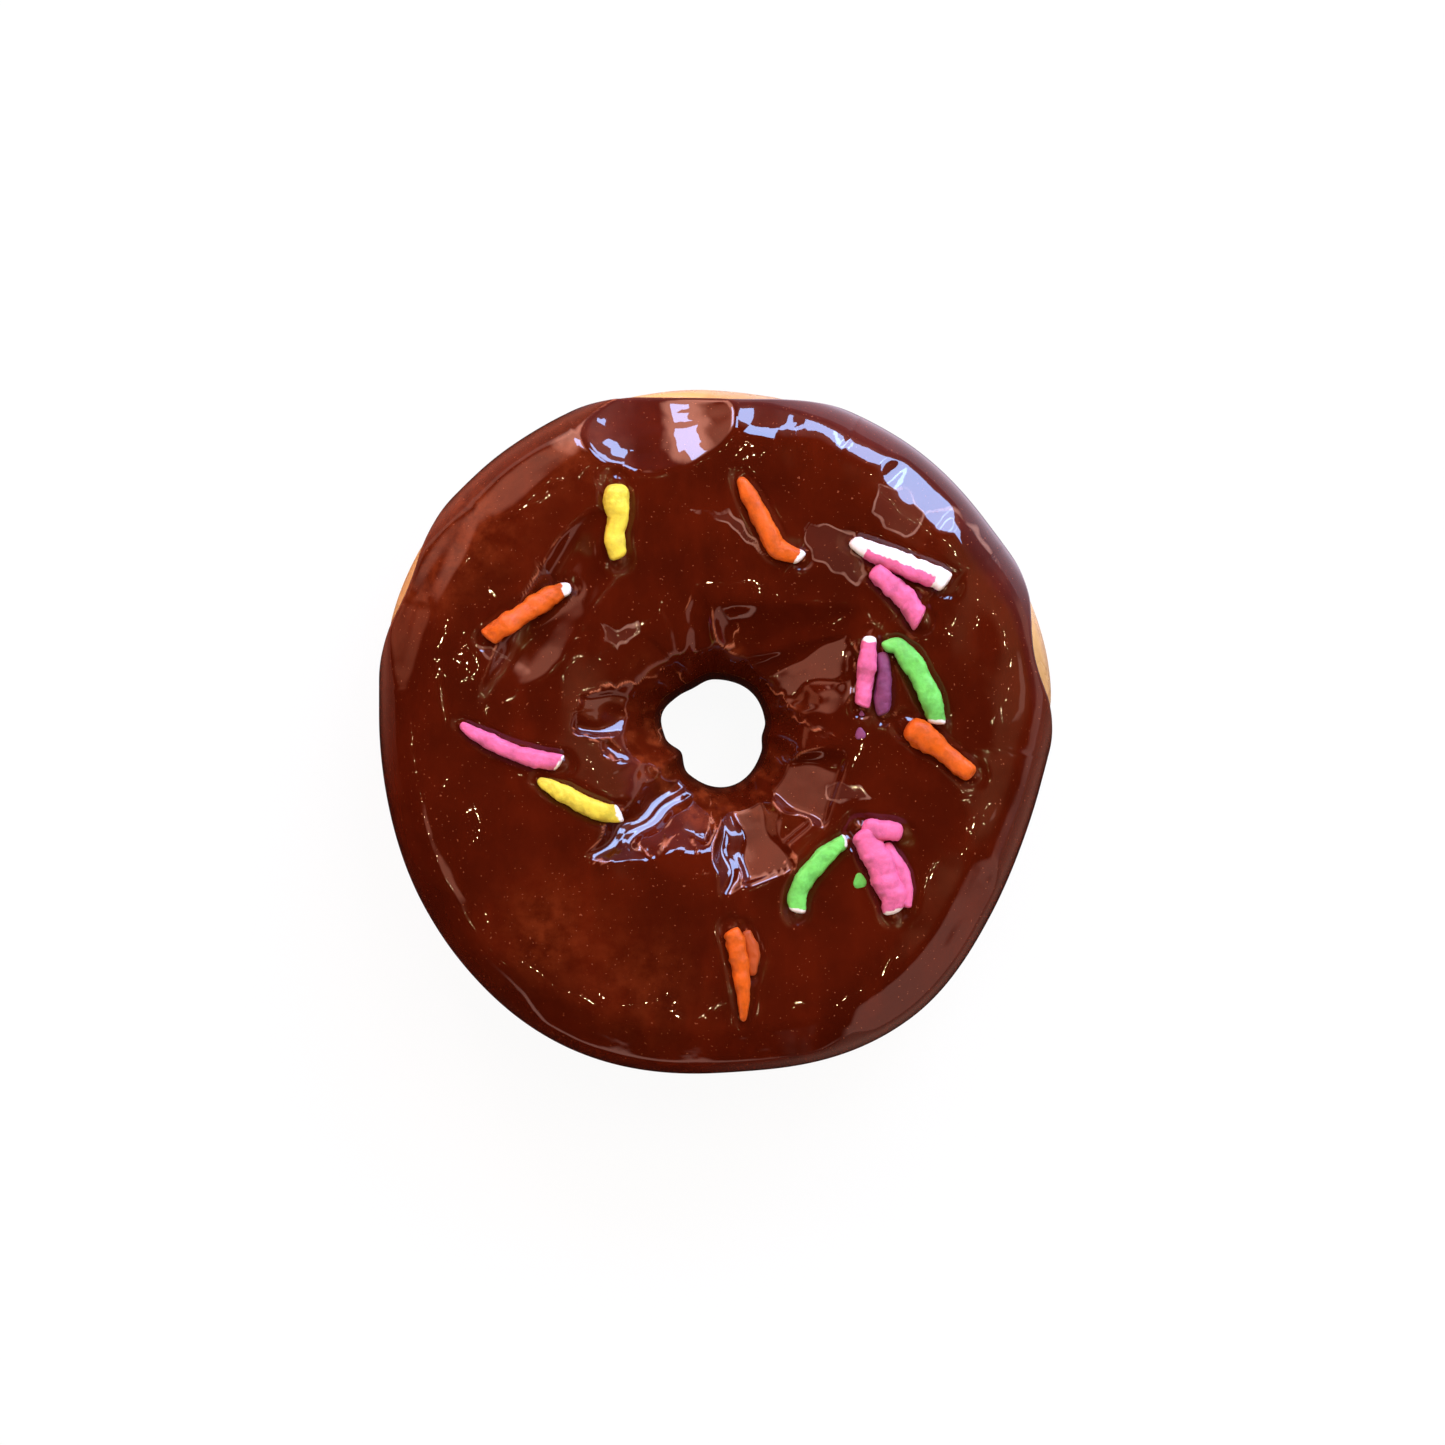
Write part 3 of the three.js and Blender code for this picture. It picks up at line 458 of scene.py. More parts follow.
# The camera: its distance from the axis in metres, its sensor in mm, and its reach in metres.
CAMERA_ASIDE = 0.0011
SENSOR = 36.0
CLIP_START, CLIP_END = 0.1, 20.0


# ---- Settings ------------------------------------------------------------------------------------
def length(name, description, default):
    return FloatProperty(name=name, description=description, default=default, unit="LENGTH", precision=4)


def power(name, description, default):
    return FloatProperty(name=name, description=description, default=default, unit="POWER")


def count(name, description, default):
    return IntProperty(name=name, description=description, default=default)


def squareness(name, default):
    return FloatProperty(name=name, description="2 is round, more is fuller", default=default)


def tint(name, description, default):
    return FloatVectorProperty(
        name=name, description=description, default=(*default, 1.0), size=4, min=0, max=1, subtype="COLOR"
    )


class RingSettings(bpy.types.PropertyGroup):
    outer_radius: length("Outer radius", "Mean radius of the outline", 0.0512)
    hole_radius: length("Hole radius", "Mean radius of the hole at its narrowest", 0.00755)
    crown: length("Crown", "Height of the frosting's crown above the base", 0.03)
    waist: length("Waist", "Height of the widest girth", 0.013)
    sink: length("Sink", "How far the round section would reach under the flat base", 0.0009)
    outer_squareness: squareness("Outer squareness", 4.2)
    inner_squareness: squareness("Inner squareness", 2.5)
    under_squareness: squareness("Under squareness", 2.7)
    stations: count("Stations", "Divisions round the dough", 360)
    covered_rows: count("Covered rows", "Divisions across the dough under the frosting", 40)
    bare_rows: count("Bare rows", "Divisions across the rest of the dough", 100)
    dough_colour: tint("Dough", "Golden glaze on the bare dough", (0.7, 0.42, 0.13))
    speck_colour: tint("Specks", "Brown specks in the golden glaze", (0.3, 0.13, 0.035))


class FrostingSettings(bpy.types.PropertyGroup):
    coat: length("Coat", "From the dough to the frosting's outer skin", 0.0012)
    gap: length("Gap", "Clearance between the dough and the frosting", 0.0003)
    crispness: length("Crispness", "Width over which the ridges between pleats are rounded", 0.00035)
    stations: count("Stations", "Divisions round the ring", 520)
    skin_rows: count("Skin rows", "Divisions across the outer skin", 166)
    bed_rows: count("Bed rows", "Divisions across the underside", 18)
    colour: tint("Glaze", "Deep brown of the thick glaze", (0.058, 0.0052, 0.001))
    thin_colour: tint("Broken glaze", "Orange brown on the ridges", (0.36, 0.1, 0.042))
    # Colour of the painted highlight round the dents and along the seam lines, and of the faint painted
    # sheen inside the dents.
    painted_highlight_colour: tint("Rim", "Pale brown of the glaze round a dent", (0.34, 0.17, 0.11))
    wash_colour: tint("Thin glaze", "Warm brown where the glaze is thin", (0.22, 0.035, 0.008))


class SprinkleSettings(bpy.types.PropertyGroup):
    sides: count("Sides", "Divisions round a sprinkle", 32)
    stations: count("Stations", "Divisions along a sprinkle", 64)
    yellow: tint("Yellow", "Yellow underglaze", (0.85, 0.7, 0.06))
    orange: tint("Orange", "Orange underglaze", (0.68, 0.112, 0.005))
    pink: tint("Pink", "Pink underglaze", (0.78, 0.15, 0.32))
    green: tint("Green", "Green underglaze", (0.17, 0.66, 0.11))
    plum: tint("Plum", "Pink smeared with brown", (0.22, 0.05, 0.13))
    amber: tint("Amber", "Thin orange smear in the glaze", (0.42, 0.07, 0.01))
    clay: tint("Bare clay", "White clay where the paint stops", (0.86, 0.82, 0.76))


class StageSettings(bpy.types.PropertyGroup):
    floor_colour: tint("Floor", "Plain pale floor", (0.9, 0.9, 0.9))
    camera_height: length("Camera height", "Camera above the floor", 2.0)
    view_width: length("View width", "Width of the view at the waist of the ring", 0.21675)
    fill: power("Fill", "Power of the overhead soft light", 21.5)
    low_fill: power("Low fill", "Power of the soft light low on the left", 6.5)


SETTINGS = {
    "doughnut_ring": RingSettings,
    "doughnut_frosting": FrostingSettings,
    "doughnut_sprinkles": SprinkleSettings,
    "doughnut_stage": StageSettings,
}


# ---- Shape of the ring ---------------------------------------------------------------------------
def turn(start, end):
    """Degrees from one angle to another, from -180 to 180."""
    return (np.asarray(end) - start + 540.0) % 360.0 - 180.0


def bumps_at(bumps, degrees):
    """The sum at an angle of bumps that each rise and fall as a squared cosine."""
    total = np.zeros_like(degrees, dtype=float)
    for at, half, size in bumps:
        reach = np.minimum(1.0, np.abs(turn(at, degrees)) / half)
        total += size * np.cos(reach * math.pi / 2) ** 2
    return total


def signed_power(value, exponent):
    """A power of a number that keeps its sign."""
    return np.sign(value) * np.abs(value) ** exponent


def rounded_min(a, b, rounding):
    """The lower of two heights, rounded where they cross."""
    overlap = np.maximum(rounding - np.abs(a - b), 0.0) / rounding
    return np.minimum(a, b) - overlap * overlap * rounding / 4


def smooth(value, low, high):
    """0 below low, 1 above high, and a smooth step between."""
    t = np.clip((value - low) / (high - low), 0.0, 1.0)
    return t * t * (3 - 2 * t)


def bank(aside, half, soft):
    """How far outside a half width a point is, with a soft start."""
    return np.hypot(np.maximum(np.abs(aside) - half, 0.0), soft) - soft


def round_degrees(stations):
    """A column of even angles round the ring."""
    return (np.arange(stations) * 360.0 / stations)[:, None]


class Ring:
    """The ring's form in millimetres, from the settings."""

    def __init__(self, scene):
        ring, frosting = scene.doughnut_ring, scene.doughnut_frosting
        self.outer = ring.outer_radius / MM
        self.hole = ring.hole_radius / MM
        self.crown = ring.crown / MM
        self.waist = ring.waist / MM
        self.sink = ring.sink / MM
        self.outer_power = ring.outer_squareness
        self.inner_power = ring.inner_squareness
        self.under_power = ring.under_squareness
        self.coat = frosting.coat / MM
        self.gap = frosting.gap / MM
        self.rounding = frosting.crispness / MM
        around = np.linspace(*SECTION_ANGLES)
        turned = np.radians(around)
        power = 2 / self.power(np.cos(turned), np.sin(turned))
        line = np.stack(
            [
                (self.outer - self.hole) / 2 * signed_power(np.cos(turned), power),
                (self.crown - self.waist) * signed_power(np.sin(turned), power),
            ]
        )
        steps = np.hypot(*np.diff(line, axis=1))
        self.angle_table = around
        self.length_table = np.concatenate([[0.0], np.cumsum(steps)])

    def power(self, outward, upward=1.0):
        """How square the section is on its outer, inner and under side."""
        over = np.where(outward >= 0, self.outer_power, self.inner_power)
        return np.where(upward < 0, self.under_power, over)

    def section(self, degrees, inset):
        """The middle, the half width and the rise of the section at angles round the ring."""
        bare = np.minimum(1.0, bumps_at(BARE_PLACES, degrees) / BARE_CLIMB)
        outer = self.outer + bumps_at(OUTLINE_BUMPS, degrees) + self.coat * bare * BARE_SWELL
        inner = self.hole + bumps_at(HOLE_BUMPS, degrees)
        return (outer + inner) / 2, (outer - inner) / 2 - inset, self.crown - self.waist - inset

    def crown_height(self, x, y, inset=0.0):
        """The height over a point of the plan before anything is pressed in."""
        middle, half, rise = self.section(np.degrees(np.arctan2(y, x)), inset)
        outward = (np.hypot(x, y) - middle) / half
        reach = np.minimum(1.0, np.abs(outward))
        power = self.power(outward)
        return self.waist + rise * (1 - reach**power) ** (1 / power)

    def pressed(self, height, x, y, inset):
        """Lowers a height to the folds and flats over a point of the plan."""
        wx = x + field("fold_wander", x, y) + field("fold_tremble", x, y)
        wy = y + field("fold_wander", x, y, 1) + field("fold_tremble", x, y, 1)
        radius = np.hypot(x, y)
        reach = radius - self.hole - bumps_at(HOLE_BUMPS, np.degrees(np.arctan2(y, x)))
        bevel = self.crown - THROAT_DROP + THROAT_FALL * (reach - THROAT_REACH) - inset * PRESS_INSET
        height = rounded_min(height, bevel, self.rounding)
        for k, fold in enumerate(FOLDS.values()):
            (ax, ay), (bx, by), fall, tilt, (wide, narrow), (left, right), soft, crease, drop = fold
            span = math.hypot(bx - ax, by - ay)
            ux, uy = (bx - ax) / span, (by - ay) / span
            along = (x - ax) * ux + (y - ay) * uy
            aside = (y - ay) * ux - (x - ax) * uy
            bent = (wy - ay) * ux - (wx - ax) * uy
            reach = wide + (narrow - wide) * np.clip(along / span, 0, 1.5)
            side = np.where(bent > 0, left, right) * bank(bent, reach, soft)
            side = side + crease * field("fold_creases", along * CREASE_STRETCH, aside, k)
            top = self.crown_height(np.array(ax), np.array(ay))
            side = side + FOLD_END * np.maximum(0.0, along - span - 1) ** 2
            if drop:
                side = side + FOLD_BACK * np.maximum(0.0, -along)
            scoop = top - drop - fall * along - tilt * aside + side - inset * PRESS_INSET
            height = rounded_min(height, scoop, self.rounding)
        for k, (azimuth, start, fall, half, rise, soft, crease, bow) in enumerate(FLATS.values()):
            a = math.radians(azimuth)
            along = x * math.cos(a) + y * math.sin(a)
            aside = y * math.cos(a) - x * math.sin(a)
            if bow:
                aside = radius * np.arctan2(aside, along)
                swell = bumps_at(OUTLINE_BUMPS, np.degrees(np.arctan2(y, x)))
                along = radius - swell + bumps_at(OUTLINE_BUMPS, np.array(float(azimuth)))
            side = rise * bank(aside, half, soft)
            side = side + crease * field("flat_wrinkles", along, aside * WRINKLE_STRETCH, k)
            top = self.crown_height(np.array(start * math.cos(a)), np.array(start * math.sin(a)))
            scoop = top - fall * (along - start) + side - inset * PRESS_INSET
            height = rounded_min(height, scoop, self.rounding)
        return height

    def edge_angle(self, degrees):
        """Where the frosting's outer edge is on the section."""
        waves = sum(size * np.sin(np.radians(times * degrees + phase)) for times, phase, size in EDGE_WAVES)
        return EDGE_ANGLE + waves + bumps_at(BARE_PLACES, degrees)

    def point(self, degrees, around, inset):
        """Points at angles round the ring and angles round the section, inset from the skin."""
        middle, half, rise = self.section(degrees, inset)
        turned = np.radians(around)
        power = 2 / self.power(np.cos(turned), np.sin(turned))
        radius = middle + half * signed_power(np.cos(turned), power)
        up = np.sin(turned) >= 0
        reach = np.where(up, rise, self.waist + self.sink)
        x = radius * np.cos(np.radians(degrees))
        y = radius * np.sin(np.radians(degrees))
        z = self.waist + reach * signed_power(np.sin(turned), power)
        return x, y, np.where(up, self.pressed(z, x, y, inset), np.maximum(0.0, z))

    def skin_height(self, x, y):
        """The height of the frosting over a point of the plan, without the beds of the sprinkles."""
        return self.pressed(self.crown_height(x, y), x, y, 0.0) + relief(x, y)

    def even_angles(self, first, last, shares):
        """Section angles between two others, at even distances along the skin."""
        a = np.interp(first, self.angle_table, self.length_table)
        b = np.interp(last, self.angle_table, self.length_table)
        return np.interp(a + (b - a) * shares, self.length_table, self.angle_table)


# ---- Relief of the frosting, over points of the plan ---------------------------------------------
def ripple(x, y, waves, shortest, longest, seed):
    """A smooth uneven field of about unit height, from seeded sine waves in all directions."""
    random = np.random.default_rng(seed)
    total = np.zeros_like(x, dtype=float)
    for _ in range(waves):
        heading = random.uniform(0, 2 * math.pi)
        pitch = math.exp(random.uniform(math.log(shortest), math.log(longest)))
        phase = random.uniform(0, 2 * math.pi)
        total += np.sin((x * math.cos(heading) + y * math.sin(heading)) * 2 * math.pi / pitch + phase)
    return total * math.sqrt(2 / waves)


def field(name, x, y, more=0):
    """One of the uneven fields, with its seed raised by more."""
    height, waves, shortest, longest, seed = RIPPLES[name]
    return height * ripple(x, y, waves, shortest, longest, seed + more)


def wander(name, x, y):
    """Points of the plan, moved as a hand wanders off a drawn line."""
    return x + field(name, x, y), y + field(name, x, y, 1)


def between_ends(place, whole, reach):
    """1 along a line, fading to 0 at both of its ends."""
    return smooth(place, 0.0, reach) * (1 - smooth(place, whole - reach, whole))


def line_distance(x, y, points):
    """Distance from points of the plan to a line, how far along it the nearest point is, and its length."""
    best = np.full(x.shape, np.inf)
    place = np.zeros(x.shape)
    done = 0.0
    for (ax, ay), (bx, by) in zip(points, points[1:]):
        dx, dy = bx - ax, by - ay
        span = math.hypot(dx, dy)
        t = np.clip(((x - ax) * dx + (y - ay) * dy) / span**2, 0, 1)
        away = np.hypot(x - ax - t * dx, y - ay - t * dy)
        nearer = away < best
        best = np.where(nearer, away, best)
        place = np.where(nearer, done + t * span, place)
        done += span
    return best, place, done


def relief(x, y):
    """Slow unevenness of the hand-smoothed clay, and the crests of glaze along the cracks, in mm."""
    radius = np.hypot(x, y)
    still, rest = CALM_FOLDS
    calm = still + rest * smooth(radius, *CALM_INSIDE) * (1 - CALM_RIM * smooth(radius, *CALM_OUTSIDE))
    total = calm * (field("slow_clay", x, y) + field("fine_clay", x, y))
    pleats = field("throat_pleats", PLEAT_RING * x / radius, PLEAT_RING * y / radius)
    total += pleats * (1 - smooth(radius, *PLEAT_REACH))
    depth, _ = dent_marks(x, y)
    return total + CRACK_HEIGHT * crack_marks(x, y) - depth


def dent_marks(x, y):
    """How deep the dents are over a point of the plan, and how far it is outside their outlines."""
    wx, wy = wander("dent_wander", x, y)
    depth, edge = np.zeros_like(x), np.full(x.shape, FAR_OFF)
    for deep, outline in DENTS.values():
        away, _, _ = line_distance(wx, wy, [*outline, outline[0]])
        crossings = np.zeros(x.shape, dtype=int)
        for (ax, ay), (bx, by) in zip(outline, [*outline[1:], outline[0]]):
            if ay == by:
                continue
            crossings += ((ay > wy) != (by > wy)) & (wx < (bx - ax) * (wy - ay) / (by - ay) + ax)
        away = np.where(crossings % 2 == 1, -away, away)
        depth += deep * (1 - smooth(away, *DENT_SLOPE))
        edge = np.minimum(edge, away)
    return depth, edge


def painted_line_marks(x, y):
    """The distance from the nearest painted highlight line over a point of the plan."""
    wx, wy = wander("painted_line_wander", x, y)
    nearest = np.full(x.shape, FAR_OFF)
    for points in PAINTED_HIGHLIGHT_LINES.values():
        away, place, whole = line_distance(wx, wy, points)
        nearest = np.minimum(nearest, away + PAINTED_LINE_FADE * (1 - between_ends(place, whole, PAINTED_LINE_END)))
    return nearest


def crack_marks(x, y):
    """1 along the middle of every crack and 0 off it, broken up along its length."""
    wx, wy = wander("crack_wander", x, y)
    total = np.zeros_like(x)
    for k, points in enumerate(CRACKS.values()):
        away, place, whole = line_distance(wx, wy, points)
        ends = between_ends(place, whole, CRACK_END)
        broken = CRACK_STRENGTH + field("crack_strength", place, 0 * place, k)
        width = CRACK_WIDTH + field("crack_width", place, 0 * place, k)
        total = np.maximum(total, np.exp(-((away / width) ** 2)) * np.clip(broken * ends, 0, 1))
    return total


def thin_marks(x, y):
    """How thin the glaze is over a point of the plan."""
    total = np.zeros_like(x)
    for at_x, at_y, radius, amount in THIN_PATCHES.values():
        total += amount * np.exp(-(((x - at_x) ** 2 + (y - at_y) ** 2) / radius**2))
    radius = np.hypot(x, y)
    azimuth = np.degrees(np.arctan2(y, x)) % 360
    worn = smooth(azimuth, *WORN_FROM) * (1 - smooth(azimuth, *WORN_TO)) * (1 - smooth(radius, *WORN_REACH))
    return total + WORN_AMOUNT * worn * np.clip(WORN_EVEN + field("worn_throat", x, y), 0, 1)


def sprinkle_beds(x, y):
    """The furrow and the raised lip of glaze round each sprinkle, in mm."""
    total = np.zeros_like(x)
    for sprinkle in SPRINKLES.values():
        away, place, whole = line_distance(x, y, curve_points(sprinkle["path"], BED_POINTS))
        stops = np.linspace(0, 1, len(sprinkle["width"]))
        off = away - np.interp(place / whole, stops, sprinkle["width"]) / 2
        for height, distance, width in BED_ROLLS:
            total += height * np.exp(-(((off - distance) / width) ** 2))
    return total


def curve_points(path, count):
    """Points at even steps on a smooth curve through a path."""
    points = np.array(path, dtype=float)
    ends = np.vstack([2 * points[0] - points[1], points, 2 * points[-1] - points[-2]])
    fine = []
    for i in range(1, len(ends) - 2):
        t = np.linspace(0, 1, CURVE_STEPS, endpoint=False)[:, None]
        p0, p1, p2, p3 = ends[i - 1 : i + 3]
        square, cube = 2 * p0 - 5 * p1 + 4 * p2 - p3, 3 * p1 - p0 - 3 * p2 + p3
        fine.append((2 * p1 + (p2 - p0) * t + square * t**2 + cube * t**3) / 2)
    fine = np.vstack([*fine, points[-1:]])
    travelled = np.concatenate([[0], np.cumsum(np.hypot(*np.diff(fine, axis=0).T))])
    at = np.linspace(0, travelled[-1], count)
    return [tuple(float(np.interp(s, travelled, fine[:, k])) for k in (0, 1)) for s in at]


# ---- Blender helpers -----------------------------------------------------------------------------
def clear_selection():
    if bpy.context.mode != "OBJECT":
        bpy.ops.object.mode_set(mode="OBJECT")
    bpy.ops.object.select_all(action="DESELECT")


def tidy_mesh(piece):
    """Merges doubles, turns the faces outwards and shades smooth."""
    clear_selection()
    piece.select_set(True)
    bpy.context.view_layer.objects.active = piece
    bpy.ops.object.mode_set(mode="EDIT")
    bpy.ops.mesh.select_all(action="SELECT")
    bpy.ops.mesh.remove_doubles(threshold=MERGE_DISTANCE)
    bpy.ops.mesh.normals_make_consistent(inside=False)
    bpy.ops.object.mode_set(mode="OBJECT")
    bpy.ops.object.shade_smooth()


def get_points(piece):
    """The mesh's points in millimetres, a row for each."""
    flat = np.zeros(len(piece.data.vertices) * 3)
    piece.data.vertices.foreach_get("co", flat)
    return flat.reshape(-1, 3) / MM


def set_points(piece, x, y, z):
    flat = np.stack([x, y, z], axis=-1).reshape(-1) * MM
    piece.data.vertices.foreach_set("co", flat.astype(np.float32))
    piece.data.update()


def paint_attribute(piece, name, values):
    layer = piece.data.attributes.new(name, "FLOAT", "POINT")
    layer.data.foreach_set("value", np.asarray(values, dtype=np.float32).reshape(-1))


def add_ring(name, x, y, z, **attributes):
    """A grid primitive bent into a closed ring through rows of points, a station for each first index."""
    clear_selection()
    stations, rows = x.shape
    bpy.ops.mesh.primitive_grid_add(x_subdivisions=rows, y_subdivisions=stations, size=0.1)
    piece = bpy.context.object
    piece.name = piece.data.name = name
    if len(piece.data.vertices) != (stations + 1) * (rows + 1):
        raise RuntimeError(f"the grid of {name} has {len(piece.data.vertices)} points")
    set_points(piece, *(closed(values) for values in (x, y, z)))
    for key, values in attributes.items():
        paint_attribute(piece, key, closed(values))
    tidy_mesh(piece)
    return piece


def closed(values):
    """Repeats the first row and the first column at the end, so that the two edges meet."""
    return np.pad(values, ((0, 1), (0, 1)), mode="wrap")


# ---- Materials -----------------------------------------------------------------------------------
class Nodes:
    """Adds and links the nodes of a tree."""

    def __init__(self, tree):
        self.tree = tree

    def add(self, kind, **values):
        node = self.tree.nodes.new(kind)
        for key, value in values.items():
            setattr(node, key, value)
        return node

    def link(self, source, target):
        self.tree.links.new(source, target)

    def spread(self, value, low, high, to_low=0.0, to_high=1.0):
        """A smooth step between two values."""
        node = self.add("ShaderNodeMapRange", interpolation_type="SMOOTHSTEP")
        self.link(value, node.inputs["Value"])
        for key, number in (("From Min", low), ("From Max", high), ("To Min", to_low), ("To Max", to_high)):
            node.inputs[key].default_value = number
        return node.outputs["Result"]

    def math(self, operation, a, b):
        node = self.add("ShaderNodeMath", operation=operation)
        for socket, value in zip(node.inputs, (a, b)):
            if isinstance(value, (int, float)):
                socket.default_value = value
            else:
                self.link(value, socket)
        return node.outputs[0]


class MaterialNodes(Nodes):
    """The nodes of a new material."""

    def __init__(self, name):
        self.material = bpy.data.materials.new(name)
        self.material.use_nodes = True
        super().__init__(self.material.node_tree)
        self.tree.nodes.clear()
        self.output = self.add("ShaderNodeOutputMaterial")
        self.shader = self.add("ShaderNodeBsdfPrincipled")
        self.link(self.shader.outputs[0], self.output.inputs["Surface"])
        self.place = self.add("ShaderNodeTexCoord").outputs["Object"]

    def attribute(self, name):
        return self.add("ShaderNodeAttribute", attribute_name=name).outputs["Fac"]

    def frayed(self, name, amount, scale, **noise):
        """An attribute of the mesh, made uneven by noise."""
        uneven = self.math("SUBTRACT", self.noise(scale, **noise), 0.5)
        return self.math("ADD", self.attribute(name), self.math("MULTIPLY", uneven, amount))

    def patches(self, scale, low, high, to_low=0.0, to_high=1.0, **noise):
        """Noise, spread between two of its values."""
        return self.spread(self.noise(scale, **noise), low, high, to_low, to_high)

    def noise(self, scale, detail=3.0, roughness=0.5, stretch=None):
        node = self.add("ShaderNodeTexNoise")
        node.inputs["Scale"].default_value = scale
        node.inputs["Detail"].default_value = detail
        node.inputs["Roughness"].default_value = roughness
        place = self.place
        if stretch:
            mapping = self.add("ShaderNodeMapping")
            mapping.inputs["Scale"].default_value = stretch
            self.link(place, mapping.inputs["Vector"])
            place = mapping.outputs[0]
        self.link(place, node.inputs["Vector"])
        return node.outputs["Fac"]

    def mix(self, share, first, second):
        node = self.add("ShaderNodeMix", data_type="RGBA")
        for key, kind, value in (("Factor", "VALUE", share), ("A", "RGBA", first), ("B", "RGBA", second)):
            socket = next(s for s in node.inputs if s.name == key and s.type == kind)
            if hasattr(value, "is_linked"):
                self.link(value, socket)
            elif isinstance(value, (int, float)):
                socket.default_value = value
            else:
                socket.default_value = tuple(value)
        return next(s for s in node.outputs if s.type == "RGBA")

    def shaders(self, share, first, second):
        """A mix of two shaders, by a number or a socket."""
        node = self.add("ShaderNodeMixShader")
        if isinstance(share, float):
            node.inputs[0].default_value = share
        else:
            self.link(share, node.inputs[0])
        self.link(first, node.inputs[1])
        self.link(second, node.inputs[2])
        return node.outputs[0]

    def bump(self, height, distance):
        node = self.add("ShaderNodeBump")
        node.inputs["Distance"].default_value = distance
        node.inputs["Strength"].default_value = 1.0
        self.link(height, node.inputs["Height"])
        self.link(node.outputs[0], self.shader.inputs["Normal"])

    def set(self, **values):
        for key, value in values.items():
            self.shader.inputs[key.replace("_", " ")].default_value = value


def toned(colour, factor):
    """A colour made darker, or lighter if the factor is above 1."""
    return (*(c * factor for c in colour[:3]), 1.0)


def glaze_material(settings):
    """Deep brown glaze that pools dark in the furrows and breaks to orange brown over the ridges, with
    painted highlight round the dents and along the seam lines.
    """
    n = MaterialNodes("chocolate_glaze")
    cloud = n.patches(70, 0.35, 0.7, detail=5, roughness=0.6)
    streak = n.patches(150, 0.45, 0.8, detail=5, roughness=0.65, stretch=(1.0, 0.35, 1.0))
    deep = n.mix(cloud, toned(settings.colour, 0.85), toned(settings.colour, 1.3))
    deep = n.mix(n.math("MULTIPLY", streak, 0.45), deep, toned(settings.colour, 2.0))
    wash = n.math("MULTIPLY", n.attribute("thin"), n.patches(330, 0.3, 0.75, detail=5, roughness=0.65))
    deep = n.mix(wash, deep, settings.wash_colour)
    broken = n.frayed("ridge", 0.7, 650, detail=4, roughness=0.6)
    colour = n.mix(n.spread(broken, 0.3, 1.0), deep, settings.thin_colour)
    rim = n.attribute("rim")
    # Painted highlight: a thin pale line on the outline of each dent.
    line = n.spread(n.math("ABSOLUTE", rim, 0.0), 0.06, 0.26, 0.62, 0.0)
    # Painted highlight: a thin pale line along each seam line, in the same colour as the dent rims.
    seam = n.spread(n.attribute("seam"), 0.1, 0.42, 0.55, 0.0)
    line = n.math("MULTIPLY", n.math("MAXIMUM", line, seam), n.patches(220, 0.32, 0.55))
    # Painted sheen: a faint pale tint inside each dent.
    inside = n.spread(rim, -0.35, 0.0, 0.05, 0.0)
    colour = n.mix(n.math("MAXIMUM", line, inside), colour, settings.painted_highlight_colour)
    speck = n.patches(2600, 0.735, 0.77, detail=1, roughness=0.3)
    colour = n.mix(n.math("MULTIPLY", speck, 0.5), colour, settings.thin_colour)
    gloss = n.patches(300, 0.35, 0.8, 0.014, 0.03)
    dull = n.spread(broken, 0.35, 0.9, 0.0, 0.3)
    n.link(colour, n.shader.inputs["Base Color"])
    n.link(n.math("MAXIMUM", gloss, dull), n.shader.inputs["Roughness"])
    n.bump(n.noise(260, detail=2, roughness=0.4), 0.00005)
    n.set(IOR=1.52)
    return n.material


def floor_material(settings):
    """Pale floor. For glossy rays it glows with a painted reflection: lilac on the window's side, warm on
    the left, and a painted shade in front and near the ring.
    """
    n = MaterialNodes("pale_floor")
    n.set(Base_Color=tuple(settings.floor_colour), Roughness=0.8)
    heading = n.add("ShaderNodeVectorMath", operation="NORMALIZE")
    away = n.add("ShaderNodeVectorMath", operation="LENGTH")
    n.link(n.place, heading.inputs[0])
    n.link(n.place, away.inputs[0])
    colour = FLOOR_PAINTED_SHADE
    for azimuth, near, far, side in FLOOR_PAINTED_REFLECTIONS:
        a = math.radians(azimuth)
        reach = n.add("ShaderNodeVectorMath", operation="DOT_PRODUCT")
        reach.inputs[1].default_value = (math.cos(a), math.sin(a), 0.0)
        n.link(heading.outputs["Vector"], reach.inputs[0])
        turned = n.spread(reach.outputs["Value"], *FLOOR_TURN)
        share = n.math("MULTIPLY", turned, n.spread(away.outputs["Value"], near, far))
        colour = n.mix(share, colour, (*side, 1))
    # The painted reflection and painted shade glow for glossy rays only, in place of a lit table.
    painted_reflection = n.add("ShaderNodeEmission")
    n.link(colour, painted_reflection.inputs["Color"])
    plain = n.shader.outputs[0]
    path = n.add("ShaderNodeLightPath").outputs
    lit = n.shaders(FLOOR_GLOW, plain, n.add("ShaderNodeEmission").outputs[0])
    seen = n.shaders(path["Is Camera Ray"], plain, lit)
    whole = n.shaders(path["Is Glossy Ray"], seen, painted_reflection.outputs[0])
    n.link(whole, n.output.inputs["Surface"])
    return n.material


def dough_material(settings):
    """Golden glaze over the dough, browner in patches."""
    n = MaterialNodes("golden_glaze")
    patch = n.patches(90, 0.35, 0.72, detail=4, roughness=0.6)
    colour = n.mix(patch, settings.dough_colour, toned(settings.dough_colour, 0.72))
    speck = n.math("MULTIPLY", n.patches(900, 0.66, 0.74, detail=2), 0.35)
    n.link(n.mix(speck, colour, settings.speck_colour), n.shader.inputs["Base Color"])
    n.link(n.patches(200, 0.3, 0.75, 0.22, 0.4), n.shader.inputs["Roughness"])
    n.bump(n.noise(380, detail=4, roughness=0.6), 0.00015)
    return n.material


